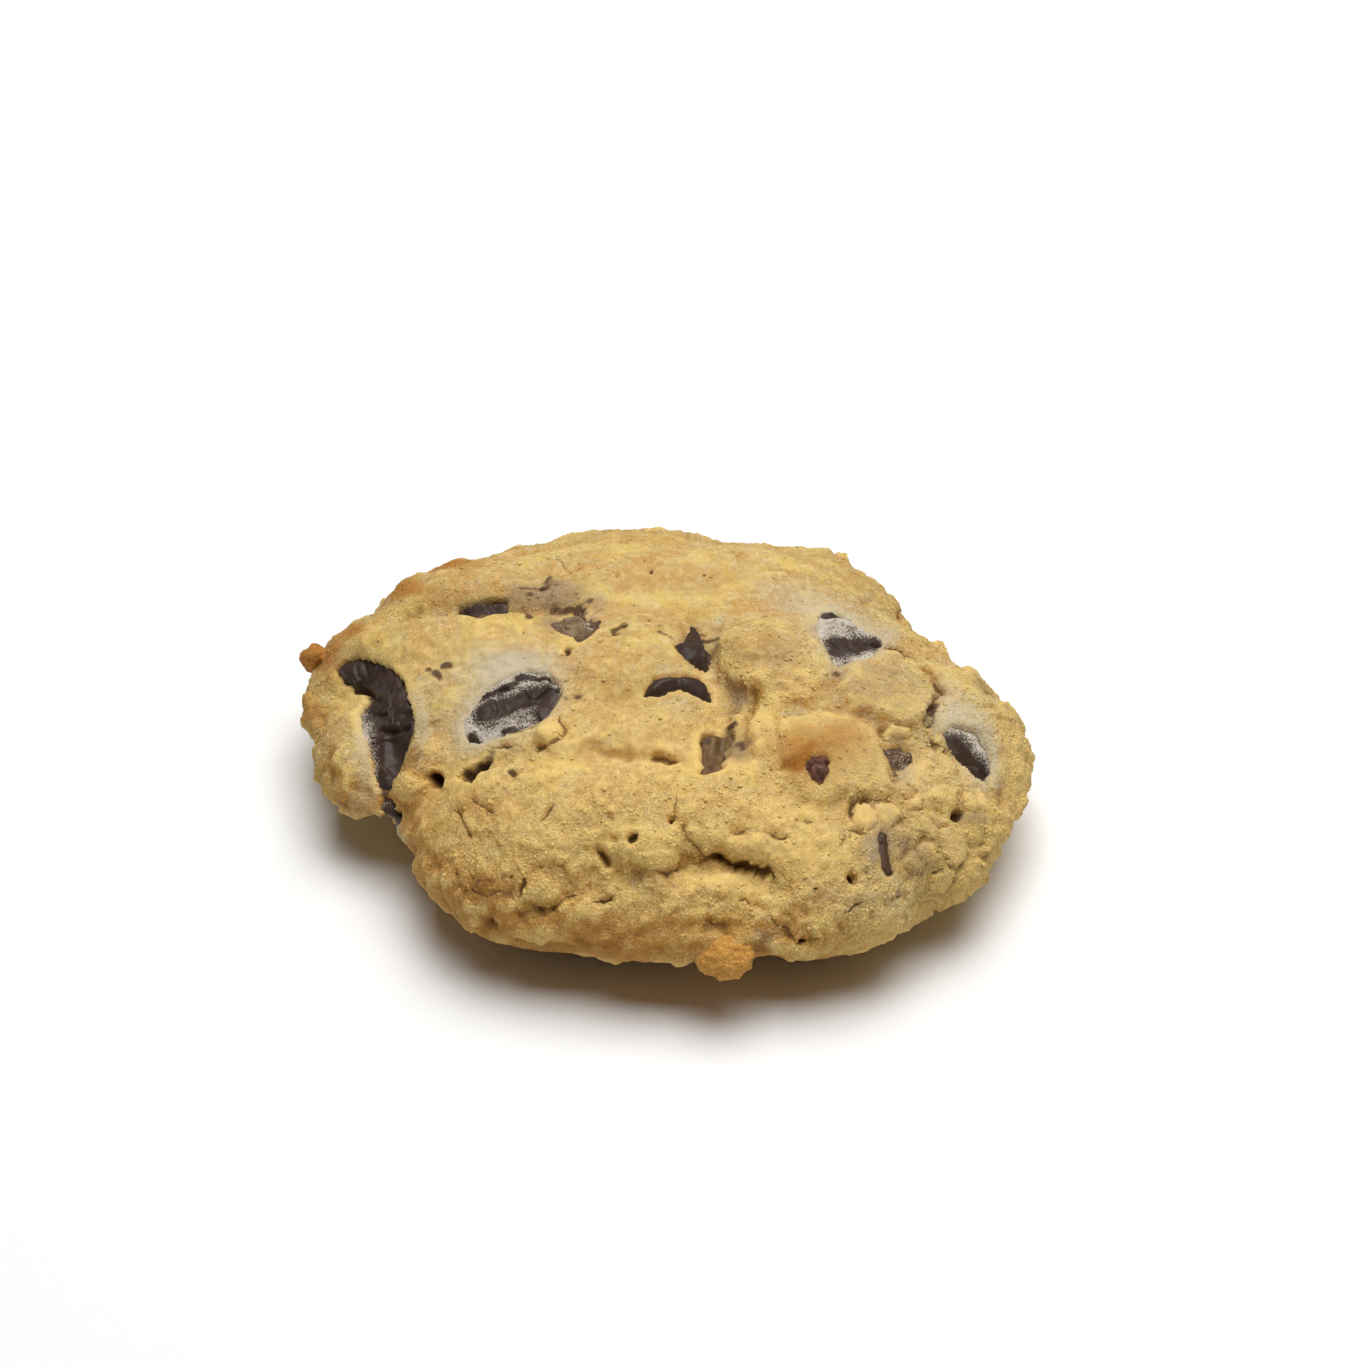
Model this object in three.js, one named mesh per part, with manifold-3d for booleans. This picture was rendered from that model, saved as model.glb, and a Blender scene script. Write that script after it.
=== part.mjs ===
// A banana drop cookie: one lumpy dome of baked dough that rests on a small flat foot, with the chocolate
// chunks, the chips and the two bits of banana that break its surface, each set in a pocket of its own.
// Millimetres, +Z up. The origin is the middle of the foot, +X is to the right and -Y is the front.
import * as THREE from "three";
import { ImprovedNoise } from "three/addons/math/ImprovedNoise.js";
import { mergeVertices } from "three/addons/utils/BufferGeometryUtils.js";
import Module from "manifold-3d";

const wasm = await Module();
wasm.setup();
const noise = new ImprovedNoise();

// Driving dimensions of the dough. The rim is its widest level, and the foot is what it stands on.
const TOP_HEIGHT = 24;
const RIM_HEIGHT = 9;
const FOOT_SHARE = 0.55;
const DOME_FULLNESS = 2.3;
const DOME_ROUNDNESS = 0.62;
const UNDERSIDE_CONE = 0.72;
const UNDERSIDE_CURVE = 1.3;
const UNDERSIDE_LIP = 6;

// The uneven outline in plan: its radius every 15 degrees, from +X towards +Y.
const OUTLINE_RADII = [
  41.2, 37.6, 35.8, 39, 41, 38, 40.2, 41, 40.8, 42.8, 43.2, 42.8,
  40.2, 37.6, 34.5, 35.8, 39.3, 38.5, 39.3, 40, 42.8, 42, 42, 42,
];

// Rolls and mounds of dough: middle in plan, half length, half width, turn in degrees, height.
const LUMPS = [
  { name: "left roll", x: -25, y: 5, long: 14, wide: 4.5, turn: -21, high: 1.6 },
  { name: "back left mound", x: -24, y: 17, long: 9, wide: 5.5, turn: -10, high: 1.4 },
  { name: "back mound", x: -3, y: 19, long: 13, wide: 8, turn: 0, high: 1.0 },
  { name: "back right mound", x: 16, y: 16, long: 9, wide: 7, turn: -20, high: 0.8 },
  { name: "middle roll", x: -4, y: -6, long: 8, wide: 5, turn: 5, high: 1.5 },
  { name: "middle right mound", x: 13, y: -4.5, long: 7, wide: 7, turn: 0, high: 1.6 },
  { name: "right dome", x: 25, y: -8, long: 6.5, wide: 7, turn: 0, high: 1.8 },
  { name: "far right lobe", x: 37, y: -1, long: 9, wide: 5, turn: 75, high: 1.0 },
  { name: "brown lump", x: 18, y: -20, long: 7.5, wide: 5, turn: -6, high: 2.2 },
  { name: "left lobe", x: -37, y: -8, long: 8, wide: 4, turn: 75, high: 1.2 },
  { name: "knob by the gully", x: -27, y: -14, long: 3, wide: 2.8, turn: 0, high: 1.6 },
  { name: "band behind the front", x: -9, y: -16, long: 11, wide: 3.4, turn: -4, high: 0.9 },
  { name: "front left mass", x: -16, y: -27, long: 13, wide: 7, turn: -8, high: 1.2 },
  { name: "front middle mass", x: 2, y: -28, long: 10, wide: 6, turn: 0, high: 0.9 },
  { name: "front right mass", x: 18, y: -31, long: 9, wide: 5, turn: 15, high: 0.8 },
  { name: "right front lobe", x: 31, y: -23, long: 7, wide: 5, turn: 35, high: 1.2 },
];

// Gullies and splits between the lumps: the line in plan, half width, depth.
const GROOVES = [
  { name: "left gully", line: [[-36, 2], [-32, -7], [-29.5, -14]], wide: 2.8, deep: 2.2 },
  { name: "back left slit", line: [[-32, 11], [-21, 8.5], [-11, 6.5]], wide: 1.8, deep: 1.8 },
  { name: "middle valley", line: [[4, 2], [5.5, -8], [6.5, -18]], wide: 2.2, deep: 1.8 },
  { name: "front crease", line: [[-25, -17.5], [-12, -20], [1, -21.5], [9, -21]], wide: 1.8, deep: 1.2 },
  { name: "right crack", line: [[27, 2], [30.5, -5], [31, -10], [35, -17]], wide: 1.8, deep: 1.6 },
  { name: "front split", line: [[3, -33], [8, -33.5], [12, -35]], wide: 1.6, deep: 1.8 },
];

// Toasted nubs of dough that stand out of the rim: middle and half sizes.
const NUBS = [
  { name: "front nub", at: [6.8, -39, 8.6], half: [2.9, 2.3, 1.9] },
  { name: "left nub", at: [-40.6, 13.8, 11.2], half: [2.2, 1.7, 1.7] },
];

// What breaks the surface: middle in plan, half sizes, turn about the surface's own normal in degrees,
// how far the middle stands above the dough, and how far a curved piece drops at its ends.
const CHOCOLATE = [
  { name: "chunk_left_long", x: -31.6, y: -4.8, half: [8.2, 3.9, 3.2], turn: -78, rise: 0.2 },
  { name: "chunk_left_low", x: -29.8, y: -16.8, half: [2.6, 1.7, 1.6], turn: -80, rise: 0.1 },
  { name: "chunk_front_left", x: -16.2, y: -10.3, half: [5.7, 4.5, 3], turn: 32, rise: -0.5 },
  { name: "chip_arch", x: 1.9, y: -10.2, half: [4.2, 1.6, 1.4], turn: -4, rise: 0.2, drop: 1.4 },
  { name: "chip_pointed", x: 3.4, y: -3.5, half: [3.4, 2.2, 2], turn: 100, rise: 0.6 },
  { name: "chunk_back_right", x: 21, y: 1.4, half: [4.2, 4.8, 2.8], turn: -10, rise: -0.4 },
  { name: "chunk_far_right", x: 33.6, y: -12.2, half: [4.6, 2.7, 2.6], turn: -62, rise: 0 },
  { name: "chunk_back_left", x: -21, y: 7.7, half: [3.5, 2.1, 1.9], turn: -8, rise: 0.2 },
  { name: "chunk_smeared", x: -10.8, y: 3.6, half: [3.2, 2.6, 2], turn: -20, rise: 0 },
  { name: "chunk_covered", x: 26.2, y: -16.8, half: [2.7, 1.9, 1.8], turn: -70, rise: -0.3 },
  { name: "chip_sliver", x: 24, y: -29.9, half: [2.9, 0.9, 1], turn: -80, rise: 0.1 },
];
const BANANA = [
  { name: "banana_piece", x: 6.6, y: -17.6, half: [4, 2.4, 2], turn: 75, rise: 0 },
  { name: "banana_bit", x: 17, y: -23.2, half: [2.2, 1.5, 1.3], turn: 70, rise: 0 },
];
const CHOCOLATE_FINISH = { color: 0x3d2e28, roughness: 0.55, metalness: 0 };
const BANANA_FINISH = { color: 0x7a5230, roughness: 0.45, metalness: 0 };
const DOUGH_FINISH = { color: 0xcda966, roughness: 0.9, metalness: 0 };
const POCKET_GAP = 0.35;

// How finely the shapes are faceted, and where the relief turns from upwards to outwards near the rim.
const DOUGH_DETAIL = 19;
const INCLUSION_DETAIL = 2;
const NUB_DETAIL = 2;
const MERIDIAN_STEPS = 600;
const UNDERSIDE_FINENESS = 0.45;
const OUTWARD_POWER = 6;

// Crags: two layers of noise, each with its spacing and height, fading out on the smooth underside.
const CRAGS = [
  { spacing: 7, high: 1.1 },
  { spacing: 3.6, high: 0.7 },
];
const UNDERSIDE_CRAG_SHARE = 0.6;

// Chopped pieces are blocky pebbles: how square they are, and how uneven.
const PEBBLE_SQUARENESS = 2.7;
const PEBBLE_UNEVENNESS = 0.16;
const PEBBLE_GRAIN = 1.6;
const SEED_STEP = 7.3;

// The outline's radius at an angle, by a smooth closed curve through the given radii.
function outlineRadius(angle) {
  const count = OUTLINE_RADII.length;
  const place = ((angle / (2 * Math.PI)) * count + count) % count;
  const step = Math.floor(place);
  const f = place - step;
  const [a, b, c, d] = [-1, 0, 1, 2].map((k) => OUTLINE_RADII[(step + k + count) % count]);
  return b + 0.5 * f * (c - a + f * (2 * a - 5 * b + 4 * c - d + f * (3 * (b - c) + d - a)));
}

// Heights of the plain dome and underside, where share is 0 in the middle and 1 at the rim.
function domeHeight(share) {
  return RIM_HEIGHT + (TOP_HEIGHT - RIM_HEIGHT) * Math.max(0, 1 - share ** DOME_FULLNESS) ** DOME_ROUNDNESS;
}

function undersideHeight(share) {
  const t = Math.max(0, (share - FOOT_SHARE) / (1 - FOOT_SHARE));
  const lip = 1 - Math.sqrt(Math.max(0, 1 - t ** UNDERSIDE_LIP));
  return RIM_HEIGHT * (UNDERSIDE_CONE * t ** UNDERSIDE_CURVE + (1 - UNDERSIDE_CONE) * lip);
}

function lumpHeight(lump, x, y) {
  const turn = THREE.MathUtils.degToRad(lump.turn);
  const dx = x - lump.x;
  const dy = y - lump.y;
  const along = (dx * Math.cos(turn) + dy * Math.sin(turn)) / lump.long;
  const across = (dy * Math.cos(turn) - dx * Math.sin(turn)) / lump.wide;
  return lump.high * Math.exp(-((along ** 2 + across ** 2) ** 2));
}

function distanceToLine(line, x, y) {
  let nearest = Infinity;
  for (let i = 0; i + 1 < line.length; i++) {
    const [ax, ay] = line[i];
    const [bx, by] = line[i + 1];
    const [ux, uy] = [bx - ax, by - ay];
    const t = THREE.MathUtils.clamp(((x - ax) * ux + (y - ay) * uy) / (ux * ux + uy * uy), 0, 1);
    nearest = Math.min(nearest, Math.hypot(x - ax - t * ux, y - ay - t * uy));
  }
  return nearest;
}

function grooveDepth(groove, x, y) {
  return groove.deep * Math.exp(-((distanceToLine(groove.line, x, y) / groove.wide) ** 2));
}

function cragHeight(x, y, z) {
  let sum = 0;
  for (const { spacing, high } of CRAGS) {
    sum += high * noise.noise(x / spacing, y / spacing, z / spacing);
  }
  return sum;
}

// The named lumps less the named grooves, at a place in plan.
function relief(x, y) {
  let sum = 0;
  for (const lump of LUMPS) sum += lumpHeight(lump, x, y);
  for (const groove of GROOVES) sum -= grooveDepth(groove, x, y);
  return sum;
}

// The line from the top of the dome over the rim to the middle of the foot, and how much of the surface,
// the underside counted for less, lies above each of its points.
function makeMeridian() {
  const meanRadius = OUTLINE_RADII.reduce((sum, r) => sum + r, 0) / OUTLINE_RADII.length;
  const points = [];
  let above = 0;
  for (let i = 0; i <= MERIDIAN_STEPS; i++) {
    const isTop = i * 2 <= MERIDIAN_STEPS;
    const share = Math.sin((Math.PI * i) / MERIDIAN_STEPS);
    const height = isTop ? domeHeight(share) : undersideHeight(share);
    if (i > 0) {
      const last = points[i - 1];
      const length = Math.hypot(meanRadius * (share - last.share), height - last.height);
      above += (isTop ? 1 : UNDERSIDE_FINENESS) * (share + last.share) * length;
    }
    points.push({ share, height, isTop, above });
  }
  return points.map((point) => ({ ...point, above: point.above / above }));
}

const meridian = makeMeridian();

// The place on that line for a direction from the middle, so that a ball's even facets stay even.
function meridianPlace(direction) {
  const wanted = THREE.MathUtils.clamp((1 - direction.z) / 2, 0, 1);
  let low = 0;
  let high = MERIDIAN_STEPS;
  while (high - low > 1) {
    const middle = (low + high) >> 1;
    if (meridian[middle].above <= wanted) low = middle;
    else high = middle;
  }
  const [a, b] = [meridian[low], meridian[high]];
  const f = (wanted - a.above) / (b.above - a.above);
  return { share: a.share + f * (b.share - a.share), isTop: b.isTop };
}

// The direction from the middle that meets the top surface over a place in plan.
function directionOver(x, y) {
  const angle = Math.atan2(y, x);
  const share = Math.min(1, Math.hypot(x, y) / outlineRadius(angle));
  const above = meridian.find((point) => point.share >= share).above;
  const level = 1 - 2 * above;
  const flat = Math.sqrt(1 - level * level);
  return new THREE.Vector3(flat * Math.cos(angle), flat * Math.sin(angle), level);
}

// The dough's surface in one direction from its middle. Relief is upwards on top and outwards at the rim.
function doughPoint(direction) {
  const { share, isTop } = meridianPlace(direction);
  const angle = Math.atan2(direction.y, direction.x);
  const radius = outlineRadius(angle) * share;
  const [x, y] = [radius * Math.cos(angle), radius * Math.sin(angle)];
  const z = isTop ? domeHeight(share) : undersideHeight(share);
  const clearOfFoot = isTop ? 1 : THREE.MathUtils.smoothstep(share, FOOT_SHARE, 1);
  const cragShare = isTop ? 1 : UNDERSIDE_CRAG_SHARE + (1 - UNDERSIDE_CRAG_SHARE) * share ** OUTWARD_POWER;
  const raised = clearOfFoot * (relief(x, y) + cragShare * cragHeight(x, y, z));
  const outward = share ** OUTWARD_POWER;
  const upward = isTop ? 1 - outward : 0;
  return new THREE.Vector3(
    x + raised * outward * Math.cos(angle),
    y + raised * outward * Math.sin(angle),
    z + raised * upward,
  );
}

// The dough's outward normal in one direction, over a small reach about it.
function doughNormal(direction) {
  const reach = 0.05;
  const side = new THREE.Vector3(-direction.y, direction.x, 0).normalize();
  const rise = new THREE.Vector3().crossVectors(direction, side);
  const step = (way, by) => doughPoint(direction.clone().addScaledVector(way, by).normalize());
  const across = step(side, reach).sub(step(side, -reach));
  const along = step(rise, reach).sub(step(rise, -reach));
  return across.cross(along).normalize();
}

// A ball of triangles whose vertices are moved by a function, with its shared vertices merged.
function shapedBall(detail, place) {
  const ball = new THREE.IcosahedronGeometry(1, detail);
  ball.deleteAttribute("normal");
  ball.deleteAttribute("uv");
  const merged = mergeVertices(ball, 1e-4);
  const position = merged.getAttribute("position");
  for (let i = 0; i < position.count; i++) {
    const moved = place(new THREE.Vector3().fromBufferAttribute(position, i).normalize());
    position.setXYZ(i, moved.x, moved.y, moved.z);
  }
  return merged;
}

// A chopped piece of chocolate or banana about its own middle, grown on every side by a gap.
function pebble(piece, seed, gap) {
  const [a, b, c] = piece.half.map((half) => half + gap);
  return shapedBall(INCLUSION_DETAIL, (d) => {
    const sum = [d.x, d.y, d.z].reduce((s, v) => s + Math.abs(v) ** PEBBLE_SQUARENESS, 0);
    const uneven = noise.noise(d.x * PEBBLE_GRAIN + seed, d.y * PEBBLE_GRAIN, d.z * PEBBLE_GRAIN);
    const r = sum ** (-1 / PEBBLE_SQUARENESS) * (1 + PEBBLE_UNEVENNESS * uneven);
    const drop = (piece.drop ?? 0) * (d.x * r) ** 2;
    return new THREE.Vector3(a * d.x * r, b * d.y * r, c * d.z * r - drop);
  });
}

// Where an inclusion lies: in the dough's surface, flat against it and turned about its normal.
function layInDough(mesh, piece) {
  const direction = directionOver(piece.x, piece.y);
  const normal = doughNormal(direction);
  mesh.position.copy(doughPoint(direction).addScaledVector(normal, piece.rise));
  mesh.quaternion.setFromUnitVectors(new THREE.Vector3(0, 0, 1), normal);
  mesh.rotateZ(THREE.MathUtils.degToRad(piece.turn));
  mesh.updateMatrixWorld();
  return mesh;
}

// Between three.js geometry and solids that can be joined and cut.
function solidOf(geometry) {
  return new wasm.Manifold(
    new wasm.Mesh({
      numProp: 3,
      vertProperties: new Float32Array(geometry.getAttribute("position").array),
      triVerts: new Uint32Array(geometry.index.array),
    }),
  );
}

function geometryOf(solid) {
  const mesh = solid.getMesh();
  const geometry = new THREE.BufferGeometry();
  geometry.setAttribute("position", new THREE.BufferAttribute(new Float32Array(mesh.vertProperties), 3));
  geometry.setIndex(new THREE.BufferAttribute(new Uint32Array(mesh.triVerts), 1));
  geometry.computeVertexNormals();
  return geometry;
}

function largestBody(solid) {
  return solid.decompose().sort((a, b) => b.volume() - a.volume())[0];
}

// The dough, with its toasted nubs fused on.
function makeDough() {
  let dough = solidOf(shapedBall(DOUGH_DETAIL, doughPoint));
  for (const nub of NUBS) {
    const half = new THREE.Vector3(...nub.half);
    const at = new THREE.Vector3(...nub.at);
    dough = dough.add(solidOf(shapedBall(NUB_DETAIL, (d) => d.multiply(half).add(at))));
  }
  return dough;
}

// The pieces are laid in first, each cutting its pocket, and the dough is what is left around them.
const cookie = new THREE.Group();
let dough = makeDough();
[...CHOCOLATE, ...BANANA].forEach((piece, i) => {
  const seed = (i + 1) * SEED_STEP;
  const finish = BANANA.includes(piece) ? BANANA_FINISH : CHOCOLATE_FINISH;
  const material = new THREE.MeshStandardMaterial(finish);
  const mesh = layInDough(new THREE.Mesh(pebble(piece, seed, 0), material), piece);
  mesh.name = piece.name;
  cookie.add(mesh);
  const pocket = pebble(piece, seed, POCKET_GAP).applyMatrix4(mesh.matrixWorld);
  dough = dough.subtract(solidOf(pocket));
});

const doughMesh = new THREE.Mesh(
  geometryOf(largestBody(dough)),
  new THREE.MeshStandardMaterial(DOUGH_FINISH),
);
doughMesh.name = "dough";
cookie.add(doughMesh);

export default cookie;
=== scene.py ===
import math

import bmesh
import bpy
import numpy as np
from mathutils import Matrix, Vector, noise


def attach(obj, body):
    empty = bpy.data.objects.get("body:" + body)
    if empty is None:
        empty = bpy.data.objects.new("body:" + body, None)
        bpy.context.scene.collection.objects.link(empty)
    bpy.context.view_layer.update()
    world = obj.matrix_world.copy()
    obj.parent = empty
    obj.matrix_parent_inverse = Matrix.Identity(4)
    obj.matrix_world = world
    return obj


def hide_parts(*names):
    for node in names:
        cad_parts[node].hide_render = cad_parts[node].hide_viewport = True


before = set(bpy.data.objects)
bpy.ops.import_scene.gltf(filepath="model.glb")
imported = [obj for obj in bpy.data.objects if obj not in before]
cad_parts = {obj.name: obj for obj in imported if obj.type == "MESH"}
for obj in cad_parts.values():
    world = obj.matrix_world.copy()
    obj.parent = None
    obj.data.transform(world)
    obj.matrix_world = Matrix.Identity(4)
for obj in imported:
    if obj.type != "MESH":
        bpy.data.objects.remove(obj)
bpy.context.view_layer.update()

# Camera
# A 100 mm lens looks down on the cookie at 34 degrees from 441 mm away. The marks on the dough and the
# outlines of the chocolate are read in its picture, so it stands before anything is shaped. Lengths are
# millimetres until a mesh is made, and places in the picture are pixels.
MM = 0.001
PICTURE_SIDE = 1365
LENS, SENSOR = 100.0, 36.0
LOOK_DOWN = math.radians(34)
LOOK_AT = np.array([2.2, 10.6, 10.0])
CAMERA_DISTANCE = 441.0
VIEW_END = 20.0            # metres
ahead = np.array([0, math.cos(LOOK_DOWN), -math.sin(LOOK_DOWN)])
above = np.array([0, math.sin(LOOK_DOWN), math.cos(LOOK_DOWN)])
eye = LOOK_AT - CAMERA_DISTANCE * ahead
focal_pixels = PICTURE_SIDE * LENS / SENSOR
pixels_per_mm = focal_pixels / CAMERA_DISTANCE

camera = bpy.data.objects.new("camera", bpy.data.cameras.new("camera"))
camera.data.lens = LENS
camera.data.sensor_width = SENSOR
camera.data.clip_end = VIEW_END
camera.matrix_world = Matrix((
    (1, above[0], -ahead[0], eye[0] * MM),
    (0, above[1], -ahead[1], eye[1] * MM),
    (0, above[2], -ahead[2], eye[2] * MM),
    (0, 0, 0, 1)))
bpy.context.scene.collection.objects.link(camera)
bpy.context.scene.camera = camera


def in_picture(points):
    """Pixel across, pixel down and distance ahead of the camera for points on the cookie."""
    from_target = points - LOOK_AT
    distance = CAMERA_DISTANCE + from_target @ ahead
    u = PICTURE_SIDE / 2 + focal_pixels * from_target[:, 0] / distance
    v = PICTURE_SIDE / 2 - focal_pixels * (from_target @ above) / distance
    return u, v, distance


# Form of the dough
# A spoonful of stiff banana dough that slumped and set in the oven: an uneven round dome over a rim, with an
# underside that draws in to the flat foot it baked on, and with rolls, mounds and gullies in the top. It is
# one lump.
TOP_HEIGHT, RIM_HEIGHT, FOOT_SHARE = 24.0, 9.0, 0.55
DOME_FULLNESS, DOME_ROUNDNESS = 2.3, 0.62
UNDERSIDE_CONE, UNDERSIDE_CURVE, UNDERSIDE_LIP = 0.72, 1.3, 6
# Radius in plan every 15 degrees, from the right side round by the back
OUTLINE_RADII = np.array([
    41.2, 37.6, 35.8, 39, 41, 38, 40.2, 41, 40.8, 42.8, 43.2, 42.8,
    40.2, 37.6, 34.5, 35.8, 39.3, 38.5, 39.3, 40, 42.8, 42, 42, 42])
# Middle in plan, half length, half width, turn in degrees and height
MOUNDS = {
    "left roll": (-25, 5, 14, 4.5, -21, 1.2),
    "back left mound": (-24, 17, 9, 5.5, -10, 1.4),
    "back mound": (-3, 19, 13, 8, 0, 1.0),
    "back right mound": (16, 16, 9, 7, -20, 0.8),
    "middle roll": (-4, -6, 8, 5, 5, 0.9),
    "middle right mound": (13, -4.5, 7, 7, 0, 1.6),
    "right dome": (25, -8, 6.5, 7, 0, 1.8),
    "far right lobe": (37, -1, 9, 5, 75, 1.0),
    "brown lump": (18, -20, 7.5, 5, -6, 1.7),
    "left lobe": (-37, -8, 8, 4, 75, 1.2),
    "knob by the gully": (-27, -14, 3, 2.8, 0, 1.6),
    "band behind the front": (-9, -16, 11, 3.4, -4, 0.45),
    "front left mass": (-16, -27, 13, 7, -8, 1.2),
    "front middle mass": (2, -28, 10, 6, 0, 0.9),
    "front right mass": (18, -31, 9, 5, 15, 0.8),
    "right front lobe": (31, -23, 7, 5, 35, 1.2)}
# Line in plan, half width and depth
GULLIES = {
    "left gully": ([(-36, 2), (-32, -7), (-29.5, -14)], 2.8, 2.2),
    "back left slit": ([(-32, 11), (-21, 8.5), (-11, 6.5)], 1.8, 1.8),
    "middle valley": ([(4, 2), (5.5, -8), (6.5, -18)], 2.2, 1.8),
    "front crease": ([(-25, -17.5), (-12, -20), (1, -21.5), (9, -21)], 1.8, 0.5),
    "right crack": ([(27, 2), (30.5, -5), (31, -10), (35, -17)], 1.8, 1.6),
    "front split": ([(3, -33), (8, -33.5), (12, -35)], 1.6, 1.8)}
CELLS = 292                # cells along a side of the square net that is laid over the dome
NET_END = 0.84             # how far in under the rim the net reaches, as a share of the radius
UNDERSIDE_FINENESS = 0.5   # how finely the net covers the underside, against the top
MERIDIAN_STEPS = 1200
NEAREST_POINTS = 12        # points of the net that a pixel's place on the dough is worked out from
SAME_SIDE = 4.0            # how much further from the camera than the nearest of them one may lie
PIXEL_SOFTNESS = 0.3
OVAL_LEAST = 0.9           # an oval's half sizes on the dough, against those in the picture
OVAL_MOST_ACROSS, OVAL_MOST_ALONG = 2.0, 2.4
OVAL_DEPTH = 3.0           # how far an oval reaches through the dough at least


def smooth_step(value, low, high):
    t = np.clip((value - low) / (high - low), 0, 1)
    return t * t * (3 - 2 * t)


def outline_radius(angle):
    """The dough's radius in plan, by a smooth closed curve through the radii given every 15 degrees."""
    count = len(OUTLINE_RADII)
    place = (angle / (2 * np.pi) * count) % count
    step = np.floor(place).astype(int)
    f = place - step
    a, b, c, d = (OUTLINE_RADII[(step + k) % count] for k in (-1, 0, 1, 2))
    return b + 0.5 * f * (c - a + f * (2 * a - 5 * b + 4 * c - d + f * (3 * (b - c) + d - a)))


def dome_height(share):
    rise = np.maximum(0, 1 - share ** DOME_FULLNESS) ** DOME_ROUNDNESS
    return RIM_HEIGHT + (TOP_HEIGHT - RIM_HEIGHT) * rise


def underside_height(share):
    t = np.maximum(0, (share - FOOT_SHARE) / (1 - FOOT_SHARE))
    lip = 1 - np.sqrt(np.maximum(0, 1 - t ** UNDERSIDE_LIP))
    return RIM_HEIGHT * (UNDERSIDE_CONE * t ** UNDERSIDE_CURVE + (1 - UNDERSIDE_CONE) * lip)


def line_distance(points, line):
    """Distance of points from a line of straight stretches, in plan or in space."""
    nearest = np.full(len(points), np.inf)
    for start, end in zip(line, line[1:]):
        way = end - start
        t = np.clip((points - start) @ way / max(1e-9, way @ way), 0, 1)
        nearest = np.minimum(nearest, np.linalg.norm(points - start - t[:, None] * way, axis=1))
    return nearest


def mound_relief(plan):
    total = np.zeros(len(plan))
    for x, y, long, wide, turn, high in MOUNDS.values():
        way = np.array([math.cos(math.radians(turn)), math.sin(math.radians(turn))])
        along = (plan - (x, y)) @ way / long
        across = (plan - (x, y)) @ (-way[1], way[0]) / wide
        total += high * np.exp(-((along ** 2 + across ** 2) ** 2))
    for line, wide, deep in GULLIES.values():
        total -= deep * np.exp(-((line_distance(plan, np.array(line, float)) / wide) ** 2))
    return total


# The net is a square bent onto a disc, ring by ring, and its rings are spaced so that its cells stay even
# from the top of the dome over the rim.
meridian = np.linspace(0, np.pi, MERIDIAN_STEPS + 1)
meridian_share = np.sin(meridian)
meridian_top = meridian <= np.pi / 2 + 1e-9
meridian_height = np.where(meridian_top, dome_height(meridian_share), underside_height(meridian_share))
meridian_length = np.hypot(OUTLINE_RADII.mean() * np.diff(meridian_share), np.diff(meridian_height))
fineness = np.where(meridian_top[1:], 1, UNDERSIDE_FINENESS)
band_area = fineness * (meridian_share[1:] + meridian_share[:-1]) * meridian_length
covered = np.concatenate([[0], np.cumsum(band_area)])

side = CELLS + 1
net_a, net_b = (axis.ravel() for axis in np.meshgrid(*[np.linspace(-1, 1, side)] * 2, indexing="ij"))
on_a = np.abs(net_a) > np.abs(net_b)
ring = np.where(on_a, net_a, net_b)
bearing = np.where(
    on_a,
    np.pi / 4 * net_b / np.where(on_a, net_a, 1),
    np.pi / 2 - np.pi / 4 * net_a / np.where(on_a | (net_b == 0), 1, net_b))
angle = np.arctan2(ring * np.sin(bearing), ring * np.cos(bearing))
net_covered = np.interp(np.pi - math.asin(NET_END), meridian, covered)
place_on_meridian = np.interp(ring ** 2 * net_covered, covered, meridian)
share = np.sin(place_on_meridian)
on_top = place_on_meridian <= np.pi / 2
plan = (outline_radius(angle) * share)[:, None] * np.stack([np.cos(angle), np.sin(angle)], 1)


def net_normals(points):
    net = points.reshape(side, side, 3)
    normal = np.cross(np.gradient(net, axis=0), np.gradient(net, axis=1)).reshape(-1, 3)
    return normal / np.maximum(1e-12, np.linalg.norm(normal, axis=1, keepdims=True))


form = np.column_stack([plan, np.where(on_top, dome_height(share), underside_height(share))])
clear_of_foot = np.where(on_top, 1, smooth_step(share, FOOT_SHARE, 1))
form += net_normals(form) * (mound_relief(plan) * clear_of_foot)[:, None]
form_normal = net_normals(form)

seen = np.nonzero(((form - eye) * form_normal).sum(1) < 0)[0]
seen_u, seen_v, seen_distance = in_picture(form[seen])


def on_dough(pixels):
    """The places on the dough's form that the camera sees at some pixels."""
    places = []
    for u, v in pixels:
        off = np.hypot(seen_u - u, seen_v - v)
        near = np.argpartition(off, NEAREST_POINTS)[:NEAREST_POINTS]
        near = near[seen_distance[near] < seen_distance[near].min() + SAME_SIDE]
        weight = 1 / (off[near] + PIXEL_SOFTNESS)
        places.append(weight @ form[seen[near]] / weight.sum())
    return np.array(places)


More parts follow.
